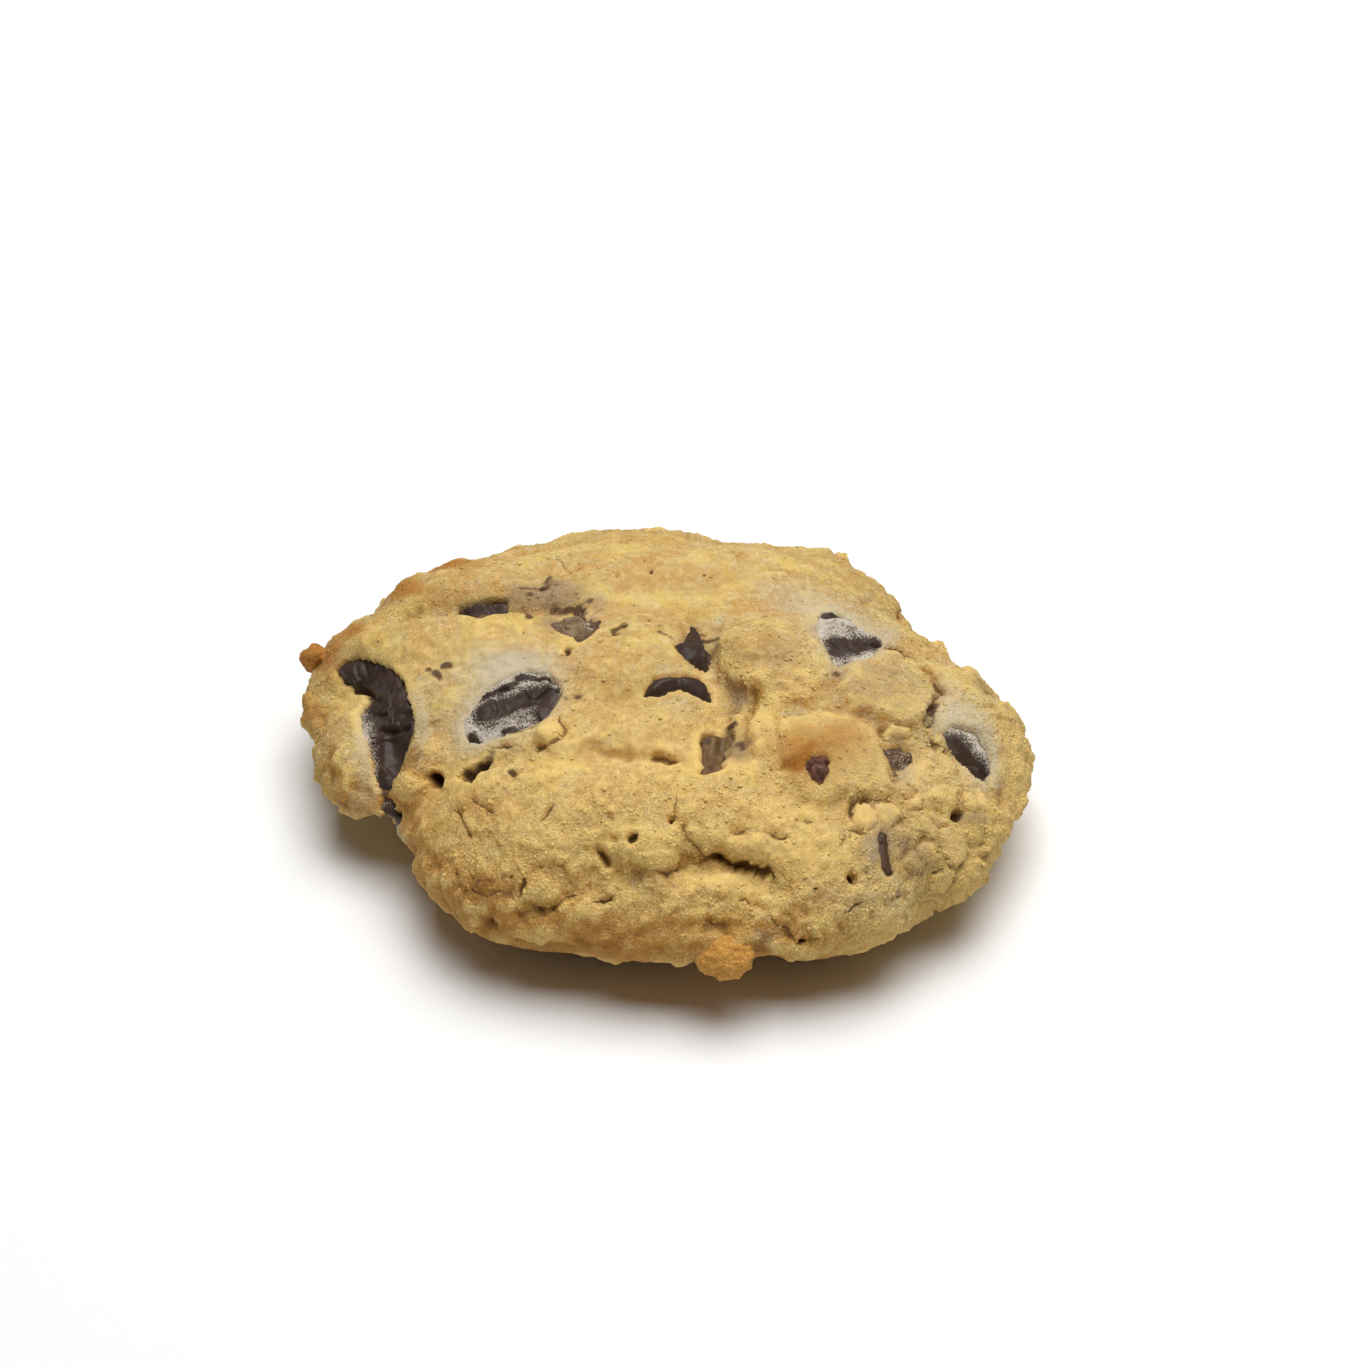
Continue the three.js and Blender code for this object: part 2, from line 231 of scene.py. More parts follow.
def oval_share(points, u, v, half_wide, half_high):
    """How far out points lie in an oval of the picture laid on the dough: 0 in its middle, 1 on its edge."""
    middle, left, right, low, high = on_dough([
        (u, v), (u - half_wide, v), (u + half_wide, v), (u, v + half_high), (u, v - half_high)])
    axes = []
    for start, end, half, most in (
            (left, right, half_wide, OVAL_MOST_ACROSS), (low, high, half_high, OVAL_MOST_ALONG)):
        axis = (end - start) / 2
        length = np.linalg.norm(axis)
        plain = half / pixels_per_mm
        axes.append(axis / max(length, 1e-9) * np.clip(length, OVAL_LEAST * plain, most * plain))
    within = (points - middle) @ np.linalg.pinv(np.array(axes))
    across = np.cross(axes[0], axes[1])
    off = (points - middle) @ across / max(1e-9, np.linalg.norm(across))
    return np.sqrt((within ** 2).sum(1) + (off / max(OVAL_DEPTH, *np.linalg.norm(axes, axis=1))) ** 2)


# Chocolate and banana
# Chopped chocolate chunks and chips, and two soft bits of banana, that were stirred into the dough and broke
# its surface in the oven. Each lies in its own pocket, with the dough risen round it and over its buried
# edge.
# Outline of what shows, in the picture
OUTLINES = {
    "chunk_left_long": [
        (336, 670), (343, 664), (352, 660), (356, 658), (368, 661), (380, 664), (392, 669), (398, 676),
        (404, 683), (407, 697), (411, 712), (414, 722), (411, 735), (406, 750), (401, 762), (396, 775),
        (393, 785), (389, 790), (378, 788), (375, 775), (373, 760), (370, 746), (366, 737), (361, 724),
        (359, 712), (362, 706), (367, 699), (362, 693), (355, 692), (351, 686), (344, 683), (340, 676)],
    "chunk_left_low": [
        (379, 806), (383, 801), (389, 799), (394, 806), (399, 812), (401, 820), (397, 827), (392, 831),
        (387, 826), (381, 816)],
    "chunk_front_left": [
        (464, 722), (468, 742), (482, 742), (503, 734), (527, 726), (540, 719), (551, 707), (560, 691),
        (558, 681), (543, 673), (527, 668), (510, 676), (494, 684), (477, 700)],
    "chip_arch": [
        (644, 695), (648, 686), (654, 679), (664, 676), (678, 676), (695, 678), (706, 684), (711, 693),
        (713, 703), (703, 700), (691, 693), (679, 688), (668, 691), (656, 696)],
    "chip_pointed": [
        (691, 626), (698, 632), (700, 641), (704, 648), (711, 655), (711, 664), (707, 670), (698, 667),
        (688, 660), (679, 651), (676, 644), (685, 640)],
    "chunk_back_right": [
        (818, 626), (824, 614), (835, 611), (846, 615), (853, 622), (866, 629), (880, 640), (881, 647),
        (872, 654), (868, 658), (850, 661), (838, 665), (832, 660), (829, 650), (824, 640), (818, 633)],
    "chunk_far_right": [
        (944, 735), (953, 726), (965, 728), (979, 734), (987, 746), (993, 761), (992, 773), (985, 783),
        (978, 778), (970, 768), (960, 761), (952, 753), (947, 744)],
    "chunk_back_left": [
        (450, 612), (458, 608), (468, 606), (478, 604), (488, 601), (497, 599), (505, 600), (507, 606),
        (505, 611), (497, 613), (489, 614), (481, 617), (470, 615), (460, 614)],
    "chunk_smeared": [
        (552, 623), (558, 619), (566, 618), (573, 612), (580, 612), (586, 617), (592, 616), (598, 621),
        (595, 627), (590, 632), (584, 637), (579, 640), (575, 634), (568, 634), (560, 630)],
    "chunk_covered": [
        (886, 746), (893, 744), (903, 746), (911, 751), (912, 760), (905, 768), (896, 770), (891, 760),
        (888, 752)],
    "chip_sliver": [
        (879, 836), (883, 832), (888, 834), (890, 845), (892, 856), (894, 866), (896, 874), (888, 876),
        (884, 868), (882, 858), (880, 848)],
    "banana_piece": [
        (704, 740), (708, 735), (715, 733), (722, 736), (727, 733), (732, 736), (729, 744), (724, 748),
        (727, 754), (721, 760), (722, 766), (713, 768), (704, 769), (703, 757), (703, 748)],
    "banana_bit": [
        (806, 768), (808, 762), (812, 757), (817, 758), (822, 754), (828, 756), (829, 763), (827, 767),
        (830, 772), (826, 776), (824, 782), (820, 784), (818, 779), (813, 778), (811, 773)]}
# How far the piece's edge lies below the dough, how far its middle swells above that edge, how soft the
# dough's edge is, how far the dough stands up round it, and how much dust lies along its edge
SETTING = {
    "chunk_left_long": (0.5, 0.6, 0.2, 0.15, 0.35),
    "chunk_left_low": (0.6, 0.5, 0.3, 0.2, 0.4),
    "chunk_front_left": (0.1, 0.45, 0.5, 0.0, 1.0),
    "chip_arch": (0.2, 1.0, 0.2, 0.1, 0.0),
    "chip_pointed": (0.2, 1.4, 0.2, 0.1, 0.1),
    "chunk_back_right": (0.15, 0.3, 0.5, 0.0, 0.9),
    "chunk_far_right": (0.35, 0.5, 0.4, 0.2, 0.55),
    "chunk_back_left": (0.4, 0.3, 0.5, 0.0, 0.45),
    "chunk_smeared": (0.15, 0.2, 0.6, 0.0, 0.15),
    "chunk_covered": (0.2, 0.2, 0.7, 0.0, 0.0),
    "chip_sliver": (0.3, 0.35, 0.2, 0.1, 0.0),
    "banana_piece": (0.5, 0.3, 0.7, 0.1, 0.0),
    "banana_bit": (0.15, 0.35, 0.45, 0.0, 0.0)}
# Ridges and dents on a chunk: half width, height and the line in the picture
FACETS = {
    "chunk_left_long": [
        (1.0, 0.5, [(395, 704), (397, 722)]),
        (0.35, -0.6, [(382, 731), (395, 733), (407, 727)]),
        (0.35, -0.5, [(366, 711), (375, 716), (384, 714)]),
        (0.4, -0.4, [(362, 690), (374, 697), (385, 697)]),
        (0.7, 0.35, [(385, 740), (384, 770)]),
        (1.1, 0.35, [(346, 670), (358, 682)]),
        (0.35, -0.4, [(363, 664), (368, 680)])],
    "chunk_front_left": [
        (1.1, -0.35, [(478, 724), (495, 716), (515, 706), (538, 698)]),
        (0.7, 0.3, [(482, 710), (505, 698), (528, 690)]),
        (0.6, -0.3, [(517, 681), (535, 677), (552, 678)])],
    "chunk_back_right": [
        (1.1, -0.4, [(836, 646), (872, 645)]),
        (0.5, -0.4, [(826, 617), (844, 618)]),
        (0.8, 0.2, [(824, 628), (860, 630)])],
    "chunk_far_right": [(0.7, 0.3, [(960, 740), (982, 764)])],
    "chip_pointed": [(0.6, 0.4, [(692, 630), (694, 648), (703, 662)])],
    "chunk_smeared": [
        (0.6, -0.4, [(558, 629), (568, 632), (576, 631)]),
        (0.6, 0.35, [(578, 616), (584, 630)]),
        (0.5, -0.4, [(590, 622), (588, 630), (580, 638)])],
    "banana_piece": [
        (0.6, -0.4, [(708, 740), (708, 760)]),
        (0.5, 0.3, [(716, 736), (714, 756)]),
        (0.5, -0.3, [(722, 742), (721, 758)])],
    "banana_bit": [
        (0.35, 0.25, [(814, 758), (828, 762)]),
        (0.35, 0.25, [(812, 768), (827, 769)]),
        (0.35, -0.3, [(816, 764), (824, 772)])]}
# Where banana has browned, and chocolate is dull under a film of dough: middle, half width and half height in
# the picture, strength
BROWNED = {
    # The left side and the foot of the banana piece are darkened with painted shade of its pocket
    "left of the piece": (706, 752, 6, 18, 0.35),
    "foot of the piece": (710, 767, 14, 5, 0.5),
    "top of the piece": (731, 732, 6, 6, 0.2),
    "bit": (820, 768, 20, 24, 1.4),
    "sliver": (888, 855, 16, 28, 0.9),
    "smeared chunk": (574, 623, 26, 14, 2.1),
    "covered chunk": (901, 756, 15, 14, 1.5),
    "slit": (472, 609, 20, 8, 1.9)}
BURIED_MARGIN = 1.1        # how far a piece reaches on under the dough beyond its outline
BURIED_DROP = 0.9          # how far its edge turns down there
POCKET_REACH = 2.5         # how far beyond that the dough is shaped round it
ROUND_OVER = 0.6           # how far in from its outline a piece has risen most of the way to its middle
PIECE_DEPTH, THINNEST = 1.6, 0.1
FULL_DEPTH_IN, THIN_BEYOND = 1.5, 0.6      # how far in it is that deep, and how far out it has thinned
BLOCK_SPARE = 1.0                          # how much further than a piece its block of the net reaches
POCKET_GAP = 0.6           # between the underside of what shows and the pocket's floor
REFINED = 2                # a piece's net, against the dough's
# Spacing and reach of the wander that makes a piece's edge ragged
EDGE_WANDER = [(1.3, 0.16), (0.5, 0.16)]
SOFT_EDGE_WANDER = [(1.1, 0.2), (0.5, 0.25)]
WANDER_SEED = 7            # keeps the wander the same in every run
# Broken faces of a piece: spacing, height, crease between two, its share and mean level, and how much of it
# each kind of piece shows
BROKEN_SPACING, BROKEN_HIGH = 2.6, 0.42
BROKEN_CREASE, BROKEN_EDGE, BROKEN_MEAN = 0.1, 0.04, 0.4
BROKEN_SHARE = {"chunk": 1, "chip": 0.4, "banana": 0.1}
FACE_GRAIN, FACE_GRAIN_SPACING = 0.1, 1.2
# Packed lumps: how steeply their faces tilt, how far they fall off from their middles, and the scales at
# which each one's own height and tilt are drawn
CLOD_TILT, CLOD_ROUND = 1.1, 0.4
HEIGHT_DRAW, TILT_DRAW = 9.7, 5.3


def inside_plan(points, outline):
    """Which points lie inside a closed outline, in plan."""
    inside = np.zeros(len(points), bool)
    for (ax, ay), (bx, by) in zip(outline[:, :2], np.roll(outline, -1, axis=0)[:, :2]):
        crosses = (ay > points[:, 1]) != (by > points[:, 1])
        level = (points[:, 1] - ay) / (by - ay if by != ay else 1e-9)
        inside ^= crosses & (points[:, 0] < ax + level * (bx - ax))
    return inside


def depth_inside(points, outline):
    """Distance from a closed outline on the dough, above zero inside it."""
    distance = line_distance(points, np.vstack([outline, outline[:1]]))
    return np.where(inside_plan(points, outline), distance, -distance)


def noise_field(points, spacing, octaves=1):
    return np.array([noise.fractal(Vector(p) / spacing, 1.0, 2.0, octaves) for p in points])


noise.seed_set(WANDER_SEED)


def wandered(points, steps):
    """Points moved about by noise, so that a shape measured at them gets an uneven edge."""
    moved = np.array(points)
    for spacing, far in steps:
        moved += far * np.array([noise.noise_vector(Vector(p) / spacing) for p in points])
    return moved


def clod_face(point, middle):
    """Height of a lump's tilted face at a point, by draws that belong to the lump's middle."""
    tilt = noise.cell_vector(middle * TILT_DRAW) - Vector((0.5, 0.5, 0.5))
    return noise.cell(middle * HEIGHT_DRAW) + CLOD_TILT * tilt.dot(point - middle)


def clod_field(points, spread, crease_depth, edge_share):
    """Heights of packed, tilted lumps about points, which are given in lump spacings."""
    heights = np.empty(len(points))
    for i, point in enumerate(points):
        point = Vector(point)
        away, middles = noise.voronoi(point)
        own, next_own = (clod_face(point, middle) for middle in middles[:2])
        edge = math.exp(-(away[1] - away[0]) / edge_share)
        lump = own + (next_own - own) * 0.5 * edge - CLOD_ROUND * away[0] ** 2
        heights[i] = spread * lump - crease_depth * edge ** 3
    return heights


def piece_relief(name, points, inside):
    """How far a piece's face stands above the dough's form."""
    sunk, swell = SETTING[name][:2]
    relief = -sunk + swell * (1 - np.exp(-np.maximum(0, inside) / ROUND_OVER))
    relief -= BURIED_DROP * smooth_step(-inside, 0, BURIED_MARGIN)
    for half_wide, high, line in FACETS.get(name, []):
        relief += high * np.exp(-((line_distance(points, on_dough(line)) / half_wide) ** 2))
    return relief


outlines = {name: on_dough(pixels) for name, pixels in OUTLINES.items()}
reach = BURIED_MARGIN + POCKET_REACH
pockets = {}
for name, outline in outlines.items():
    low, high = outline.min(0) - reach, outline.max(0) + reach
    near = np.nonzero(np.all((form > low) & (form < high), axis=1))[0]
    wander = SOFT_EDGE_WANDER if name.startswith("banana") else EDGE_WANDER
    inside = depth_inside(wandered(form[near], wander), outline)
    pockets[name] = near, inside, piece_relief(name, form[near], inside)

# Flour and sugar bloom that lie on the chocolate and on the dough round it: middle, half width and half
# height in the picture, and strength
DUSTED = {
    "round the front chunk": (500, 700, 66, 46, 1.0),
    "below the front chunk": (472, 738, 20, 22, 0.7),
    "above the front chunk": (514, 664, 52, 18, 1.0),
    "round the back right chunk": (846, 634, 46, 32, 1.0),
    "left of the back right chunk": (798, 600, 40, 18, 0.8),
    "right of the back right chunk": (893, 630, 12, 22, 0.5),
    "round the far right chunk": (984, 756, 16, 34, 1.0),
    "above the far right chunk": (956, 716, 26, 18, 0.9),
    "right of the crack": (948, 690, 16, 18, 0.5),
    "right of the long chunk": (422, 728, 10, 44, 0.9),
    "left of the long chunk": (364, 745, 13, 48, 1.0),
    "gully's mouth": (396, 836, 18, 14, 1.0),
    "left of the pointed chip": (668, 641, 18, 9, 0.5),
    "right of the pointed chip": (716, 662, 10, 24, 0.5),
    "inside the arch": (684, 702, 24, 9, 0.7),
    "above the arch": (668, 671, 26, 6, 0.7),
    "under the covered chunk": (904, 774, 12, 8, 0.5),
    "on the smeared chunk": (588, 621, 8, 8, 0.45),
    "above the brown lump": (793, 711, 14, 5, 0.7),
    "middle streak": (722, 620, 18, 5, 0.7),
    "back": (760, 583, 9, 7, 0.5),
    "low right": (766, 938, 17, 13, 0.7),
    "front lump": (742, 790, 16, 12, 0.4),
    "round the smear": (563, 600, 50, 26, 0.3),
    "under the knolls": (640, 885, 40, 14, 0.35),
    "beside the slit": (430, 617, 26, 7, 0.5),
    "slope by the sliver": (872, 850, 12, 26, 0.3),
    "low right side": (880, 905, 60, 30, 0.5),
    "right side": (930, 740, 120, 110, 0.5),
    "back half": (720, 580, 170, 36, 0.2),
    "valley floor": (735, 700, 20, 18, 0.3),
    "left lobe's edge": (350, 800, 20, 14, 0.4),
    "low edge": (470, 908, 24, 10, 0.35)}
# Where the chocolate is bare: half width and the line in the picture
BARE = [
    (1.5, [(486, 715), (500, 708), (520, 701), (535, 698)]),
    (0.5, [(482, 697), (500, 690), (515, 684)]),
    (0.55, [(518, 678), (530, 676), (552, 679)]),
    (1.2, [(557, 692), (550, 704), (543, 714)]),
    (0.5, [(505, 732), (530, 726)]),
    (0.6, [(471, 737), (476, 742)]),
    (1.4, [(834, 643), (876, 643)]),
    (1.1, [(836, 651), (864, 650)]),
    (0.6, [(825, 616), (835, 616), (845, 618)]),
    (1.6, [(950, 744), (958, 754), (972, 768), (981, 777)]),
    (2.2, [(350, 670), (375, 676), (395, 705), (398, 722)]),
    (1.0, [(400, 738), (390, 778)]),
    (0.8, [(470, 610), (500, 607)])]
DUST_FADE_IN, DUST_FADE_OUT = 0.8, 1.3     # how far dust thins out inwards and outwards from a chunk's edge
DUST_SHARE, DUST_MOST, BARE_CLEAN = 0.7, 0.98, 0.97


def stain(points, spots, softness=2):
    """The strength of a list of oval marks, as they add up at each point."""
    total = np.zeros(len(points))
    for u, v, half_wide, half_high, strength in spots.values():
        total += strength * np.exp(-(oval_share(points, u, v, half_wide, half_high) ** softness))
    return total


def srgb(code):
    """A colour given as sRGB hex, as linear red, green, blue and alpha."""
    parts = [int(code[i:i + 2], 16) / 255 for i in (1, 3, 5)]
    return tuple(p / 12.92 if p <= 0.04045 else ((p + 0.055) / 1.055) ** 2.4 for p in parts) + (1,)


def add_node(tree, kind, settings=None, inputs=None):
    """Adds a node with its settings, and feeds its inputs from values or from other nodes' outputs."""
    made = tree.nodes.new(kind)
    for key, value in (settings or {}).items():
        setattr(made, key, value)
    for key, value in (inputs or {}).items():
        if isinstance(value, bpy.types.NodeSocket):
            tree.links.new(value, made.inputs[key])
        else:
            made.inputs[key].default_value = value
    return made


def per_metre(spacing):
    """A pattern's scale on object coordinates, from its spacing in millimetres."""
    return 1 / (spacing * MM)


# Dark chocolate, chopped and half melted: satin, almost black, with pale dust that thins out in specks
chocolate = bpy.data.materials.new("dark chocolate with dust")
chocolate.use_nodes = True
tree = chocolate.node_tree
shader = tree.nodes["Principled BSDF"]
where = add_node(tree, "ShaderNodeTexCoord").outputs["Object"]
specks, clouds = (
    add_node(tree, "ShaderNodeTexNoise", None, {
        "Vector": where, "Scale": per_metre(spacing), "Detail": 2}).outputs[0]
    for spacing in (0.22, 2.2))
dust, filmed = (
    add_node(tree, "ShaderNodeAttribute", {"attribute_name": key}).outputs["Fac"]
    for key in ("dust", "browned"))
dust_clouds, dust_specks = (
    add_node(tree, "ShaderNodeMath", {"operation": "MULTIPLY_ADD"}, {
        0: field, 1: strength, 2: -strength / 2}).outputs[0]
    for field, strength in ((clouds, 0.7), (specks, 2.0)))
dust_edge = add_node(tree, "ShaderNodeMath", {"operation": "ADD"}, {
    0: dust_clouds, 1: dust_specks}).outputs[0]
dust_near = add_node(tree, "ShaderNodeMapRange", None, {
    "Value": dust, "From Min": 0.05, "From Max": 0.4}).outputs[0]
dust_level = add_node(tree, "ShaderNodeMath", {"operation": "MULTIPLY_ADD"}, {
    0: dust_edge, 1: dust_near, 2: dust}).outputs[0]
film_level = add_node(tree, "ShaderNodeMath", {"operation": "ADD"}, {0: filmed, 1: dust_edge}).outputs[0]
dusty, film_thick = (
    add_node(tree, "ShaderNodeMapRange", {"interpolation_type": "SMOOTHSTEP"}, {
        "Value": level, "From Min": start, "From Max": full}).outputs[0]
    for level, start, full in ((dust_level, 0.28, 1.05), (film_level, 1.0, 2.1)))
colour = add_node(tree, "ShaderNodeMix", {"data_type": "RGBA"}, {
    0: clouds, 6: srgb("#33261f"), 7: srgb("#4c3b32")}).outputs[2]
# A thin and a thick film of dough, and dust over them
for amount, code in ((filmed, "#553b28"), (film_thick, "#8e7759"), (dusty, "#cbc0af")):
    colour = add_node(tree, "ShaderNodeMix", {"data_type": "RGBA"}, {
        0: amount, 6: colour, 7: srgb(code)}).outputs[2]
sheen = add_node(tree, "ShaderNodeMapRange", None, {
    "Value": dust_level, "From Min": 0.0, "From Max": 0.5, "To Min": 0.36, "To Max": 0.9}).outputs[0]
grain_height = add_node(tree, "ShaderNodeMath", {"operation": "ADD"}, {0: specks, 1: clouds}).outputs[0]
grain = add_node(tree, "ShaderNodeBump", None, {
    "Strength": 0.4, "Distance": 0.12 * MM, "Height": grain_height}).outputs[0]
tree.links.new(colour, shader.inputs["Base Color"])
tree.links.new(sheen, shader.inputs["Roughness"])
tree.links.new(grain, shader.inputs["Normal"])
shader.inputs["IOR"].default_value = 1.46
shader.inputs["Specular IOR Level"].default_value = 0.26

# Ripe banana, browned in the oven: sticky, translucent amber going to dark brown
banana = bpy.data.materials.new("browned banana")
banana.use_nodes = True
tree = banana.node_tree
shader = tree.nodes["Principled BSDF"]
where = add_node(tree, "ShaderNodeTexCoord").outputs["Object"]
drawn_out = add_node(tree, "ShaderNodeVectorMath", {"operation": "MULTIPLY"}, {
    0: where, 1: (1.6, 0.5, 1.0)}).outputs[0]
fibres = add_node(tree, "ShaderNodeTexNoise", None, {
    "Vector": drawn_out, "Scale": per_metre(1.0), "Detail": 4}).outputs[0]
mottle = add_node(tree, "ShaderNodeTexNoise", None, {
    "Vector": where, "Scale": per_metre(0.7), "Detail": 2}).outputs[0]
stringy, mottled = (
    add_node(tree, "ShaderNodeMapRange", None, {
        "Value": field, "From Min": start, "From Max": full}).outputs[0]
    for field, start, full in ((fibres, 0.35, 0.65), (mottle, 0.4, 0.7)))
flesh, burnt = (
    add_node(tree, "ShaderNodeMix", {"data_type": "RGBA"}, {
        0: amount, 6: srgb(dark), 7: srgb(light)}).outputs[2]
    for amount, dark, light in ((stringy, "#4f3b22", "#7f6540"), (mottled, "#3b2117", "#835540")))
browned = add_node(tree, "ShaderNodeAttribute", {"attribute_name": "browned"}).outputs["Fac"]
baked = add_node(tree, "ShaderNodeMix", {"data_type": "RGBA"}, {0: browned, 6: flesh, 7: burnt}).outputs[2]
tree.links.new(baked, shader.inputs["Base Color"])
tree.links.new(add_node(tree, "ShaderNodeBump", None, {
    "Strength": 0.7, "Distance": 0.25 * MM, "Height": fibres}).outputs[0], shader.inputs["Normal"])
shader.inputs["Roughness"].default_value = 0.55
shader.inputs["IOR"].default_value = 1.4
shader.inputs["Specular IOR Level"].default_value = 0.3


def refined(field, rows, columns):
    """A stretch of a field on the dough's net, on a finer net."""
    net = field.reshape(side, side, -1)
    r, c = (np.linspace(a, b, (b - a) * REFINED + 1) for a, b in (rows, columns))
    r0, c0 = (np.minimum(np.floor(v).astype(int), CELLS - 1) for v in (r, c))
    fr, fc = (r - r0)[:, None, None], (c - c0)[None, :, None]
    near = net[r0][:, c0] * (1 - fc) + net[r0][:, c0 + 1] * fc
    far = net[r0 + 1][:, c0] * (1 - fc) + net[r0 + 1][:, c0 + 1] * fc
    return near * (1 - fr) + far * fr


def solid_slab(top, bottom, cells):
    """Points and faces of a closed slab: two sheets over some cells of a net, with walls round them."""
    rows, columns = top.shape[:2]
    index = np.arange(rows * columns).reshape(rows, columns)
    corners = np.stack([index[:-1, :-1], index[1:, :-1], index[1:, 1:], index[:-1, 1:]], -1)[cells]
    used = np.unique(corners)
    new = np.full(rows * columns, -1)
    new[used] = np.arange(len(used))
    upper = new[corners]
    faces = [*upper.tolist(), *(upper[:, ::-1] + len(used)).tolist()]
    edges = {tuple(edge) for quad in upper.tolist() for edge in zip(quad, quad[1:] + quad[:1])}
    for a, b in sorted(edges):
        if (b, a) not in edges:
            faces.append([b, a, a + len(used), b + len(used)])
    points = np.vstack([top.reshape(-1, 3)[used], bottom.reshape(-1, 3)[used]])
    return points, faces, used


def make_piece(name, points, faces, material, attributes=None):
    """A smooth mesh object in metres, with per-vertex values for its material, that rides on the cookie."""
    mesh = bpy.data.meshes.new(name)
    mesh.from_pydata((np.asarray(points) * MM).tolist(), [], faces)
    mesh.polygons.foreach_set("use_smooth", np.ones(len(mesh.polygons), bool))
    for key, values in (attributes or {}).items():
        mesh.attributes.new(key, "FLOAT", "POINT").data.foreach_set("value", np.asarray(values, np.float32))
    mesh.materials.append(material)
    mesh.update()
    piece = bpy.data.objects.new(name, mesh)
    bpy.context.scene.collection.objects.link(piece)
    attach(piece, "root")
    return piece


for name, outline in outlines.items():
    near, inside, relief = pockets[name]
    near = near[inside > -BURIED_MARGIN - BLOCK_SPARE]
    rows, columns = ((int(v.min()), int(v.max())) for v in (near // side, near % side))
    base = refined(form, rows, columns)
    up = refined(form_normal, rows, columns)
    flat = base.reshape(-1, 3)
    inside = depth_inside(flat, outline)
    face = piece_relief(name, flat, inside) + FACE_GRAIN * noise_field(flat, FACE_GRAIN_SPACING, 2)
    broken = clod_field(flat / BROKEN_SPACING, 1.0, BROKEN_CREASE, BROKEN_EDGE) - BROKEN_MEAN
    face += BROKEN_SHARE[name.split("_")[0]] * BROKEN_HIGH * broken
    deep_share = smooth_step(inside, -BURIED_MARGIN - THIN_BEYOND, FULL_DEPTH_IN)
    thick = THINNEST + PIECE_DEPTH * deep_share
    corner = inside.reshape(base.shape[:2]) > -BURIED_MARGIN
    cells = corner[:-1, :-1] & corner[1:, :-1] & corner[1:, 1:] & corner[:-1, 1:]
    top = base + up * face.reshape(*base.shape[:2], 1)
    bottom = base + up * (face - thick).reshape(*base.shape[:2], 1)
    points, faces, used = solid_slab(top, bottom, cells)
    dust_here = SETTING[name][4] * np.exp(-np.maximum(0, inside[used]) / DUST_FADE_IN)
    dust_here = np.minimum(DUST_MOST, dust_here + DUST_SHARE * stain(flat[used], DUSTED))
    for half_wide, line in BARE:
        wiped = np.exp(-((line_distance(flat[used], on_dough(line)) / half_wide) ** 2))
        dust_here *= 1 - BARE_CLEAN * wiped
    marks = {"dust": np.tile(dust_here, 2), "browned": np.tile(stain(flat[used], BROWNED), 2)}
    if name.startswith("banana"):
        piece = make_piece("browned_" + name, points, faces, banana, marks)
    else:
        piece = make_piece("chocolate_" + name, points, faces, chocolate, marks)
    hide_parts(name)

# Crust of the dough
# The baked outside of the lump: matte, yellow-tan and grainy with sugar and oats, toasted on its edges and
# knobs, cracked where it set before it stopped rising. It is all one piece with the form, down to the foot.
# Edge-bound rolls of dough: height, softness of the edge, outline in the picture
ROLLS = {
    "left roll": (0.35, 1.8, [
        (345, 645), (373, 629), (410, 625), (454, 618), (469, 616), (497, 616), (514, 617), (545, 624),
        (570, 640), (576, 652), (555, 664), (520, 660), (470, 657), (430, 655), (395, 657), (365, 652)]),
    "middle roll": (0.35, 1.6, [
        (580, 655), (600, 643), (630, 630), (660, 632), (674, 645), (688, 662), (706, 678), (670, 674),
        (645, 688), (620, 690), (592, 680)]),
    "middle right mound": (0.6, 1.1, [
        (722, 640), (745, 628), (775, 620), (805, 618), (822, 630), (828, 655), (832, 672), (820, 690),
        (800, 702), (775, 706), (758, 698), (752, 686), (735, 684), (718, 676), (712, 660)]),
    "right dome": (0.75, 0.9, [
        (851, 664), (888, 651), (910, 658), (928, 678), (931, 694), (926, 718), (905, 728), (880, 720),
        (852, 710), (838, 690)]),
    "brown lump": (0.5, 1.1, [
        (777, 722), (800, 715), (825, 713), (850, 715), (872, 721), (883, 738), (891, 765), (890, 788),
        (866, 798), (838, 798), (812, 794), (800, 776), (783, 766), (777, 745)])}
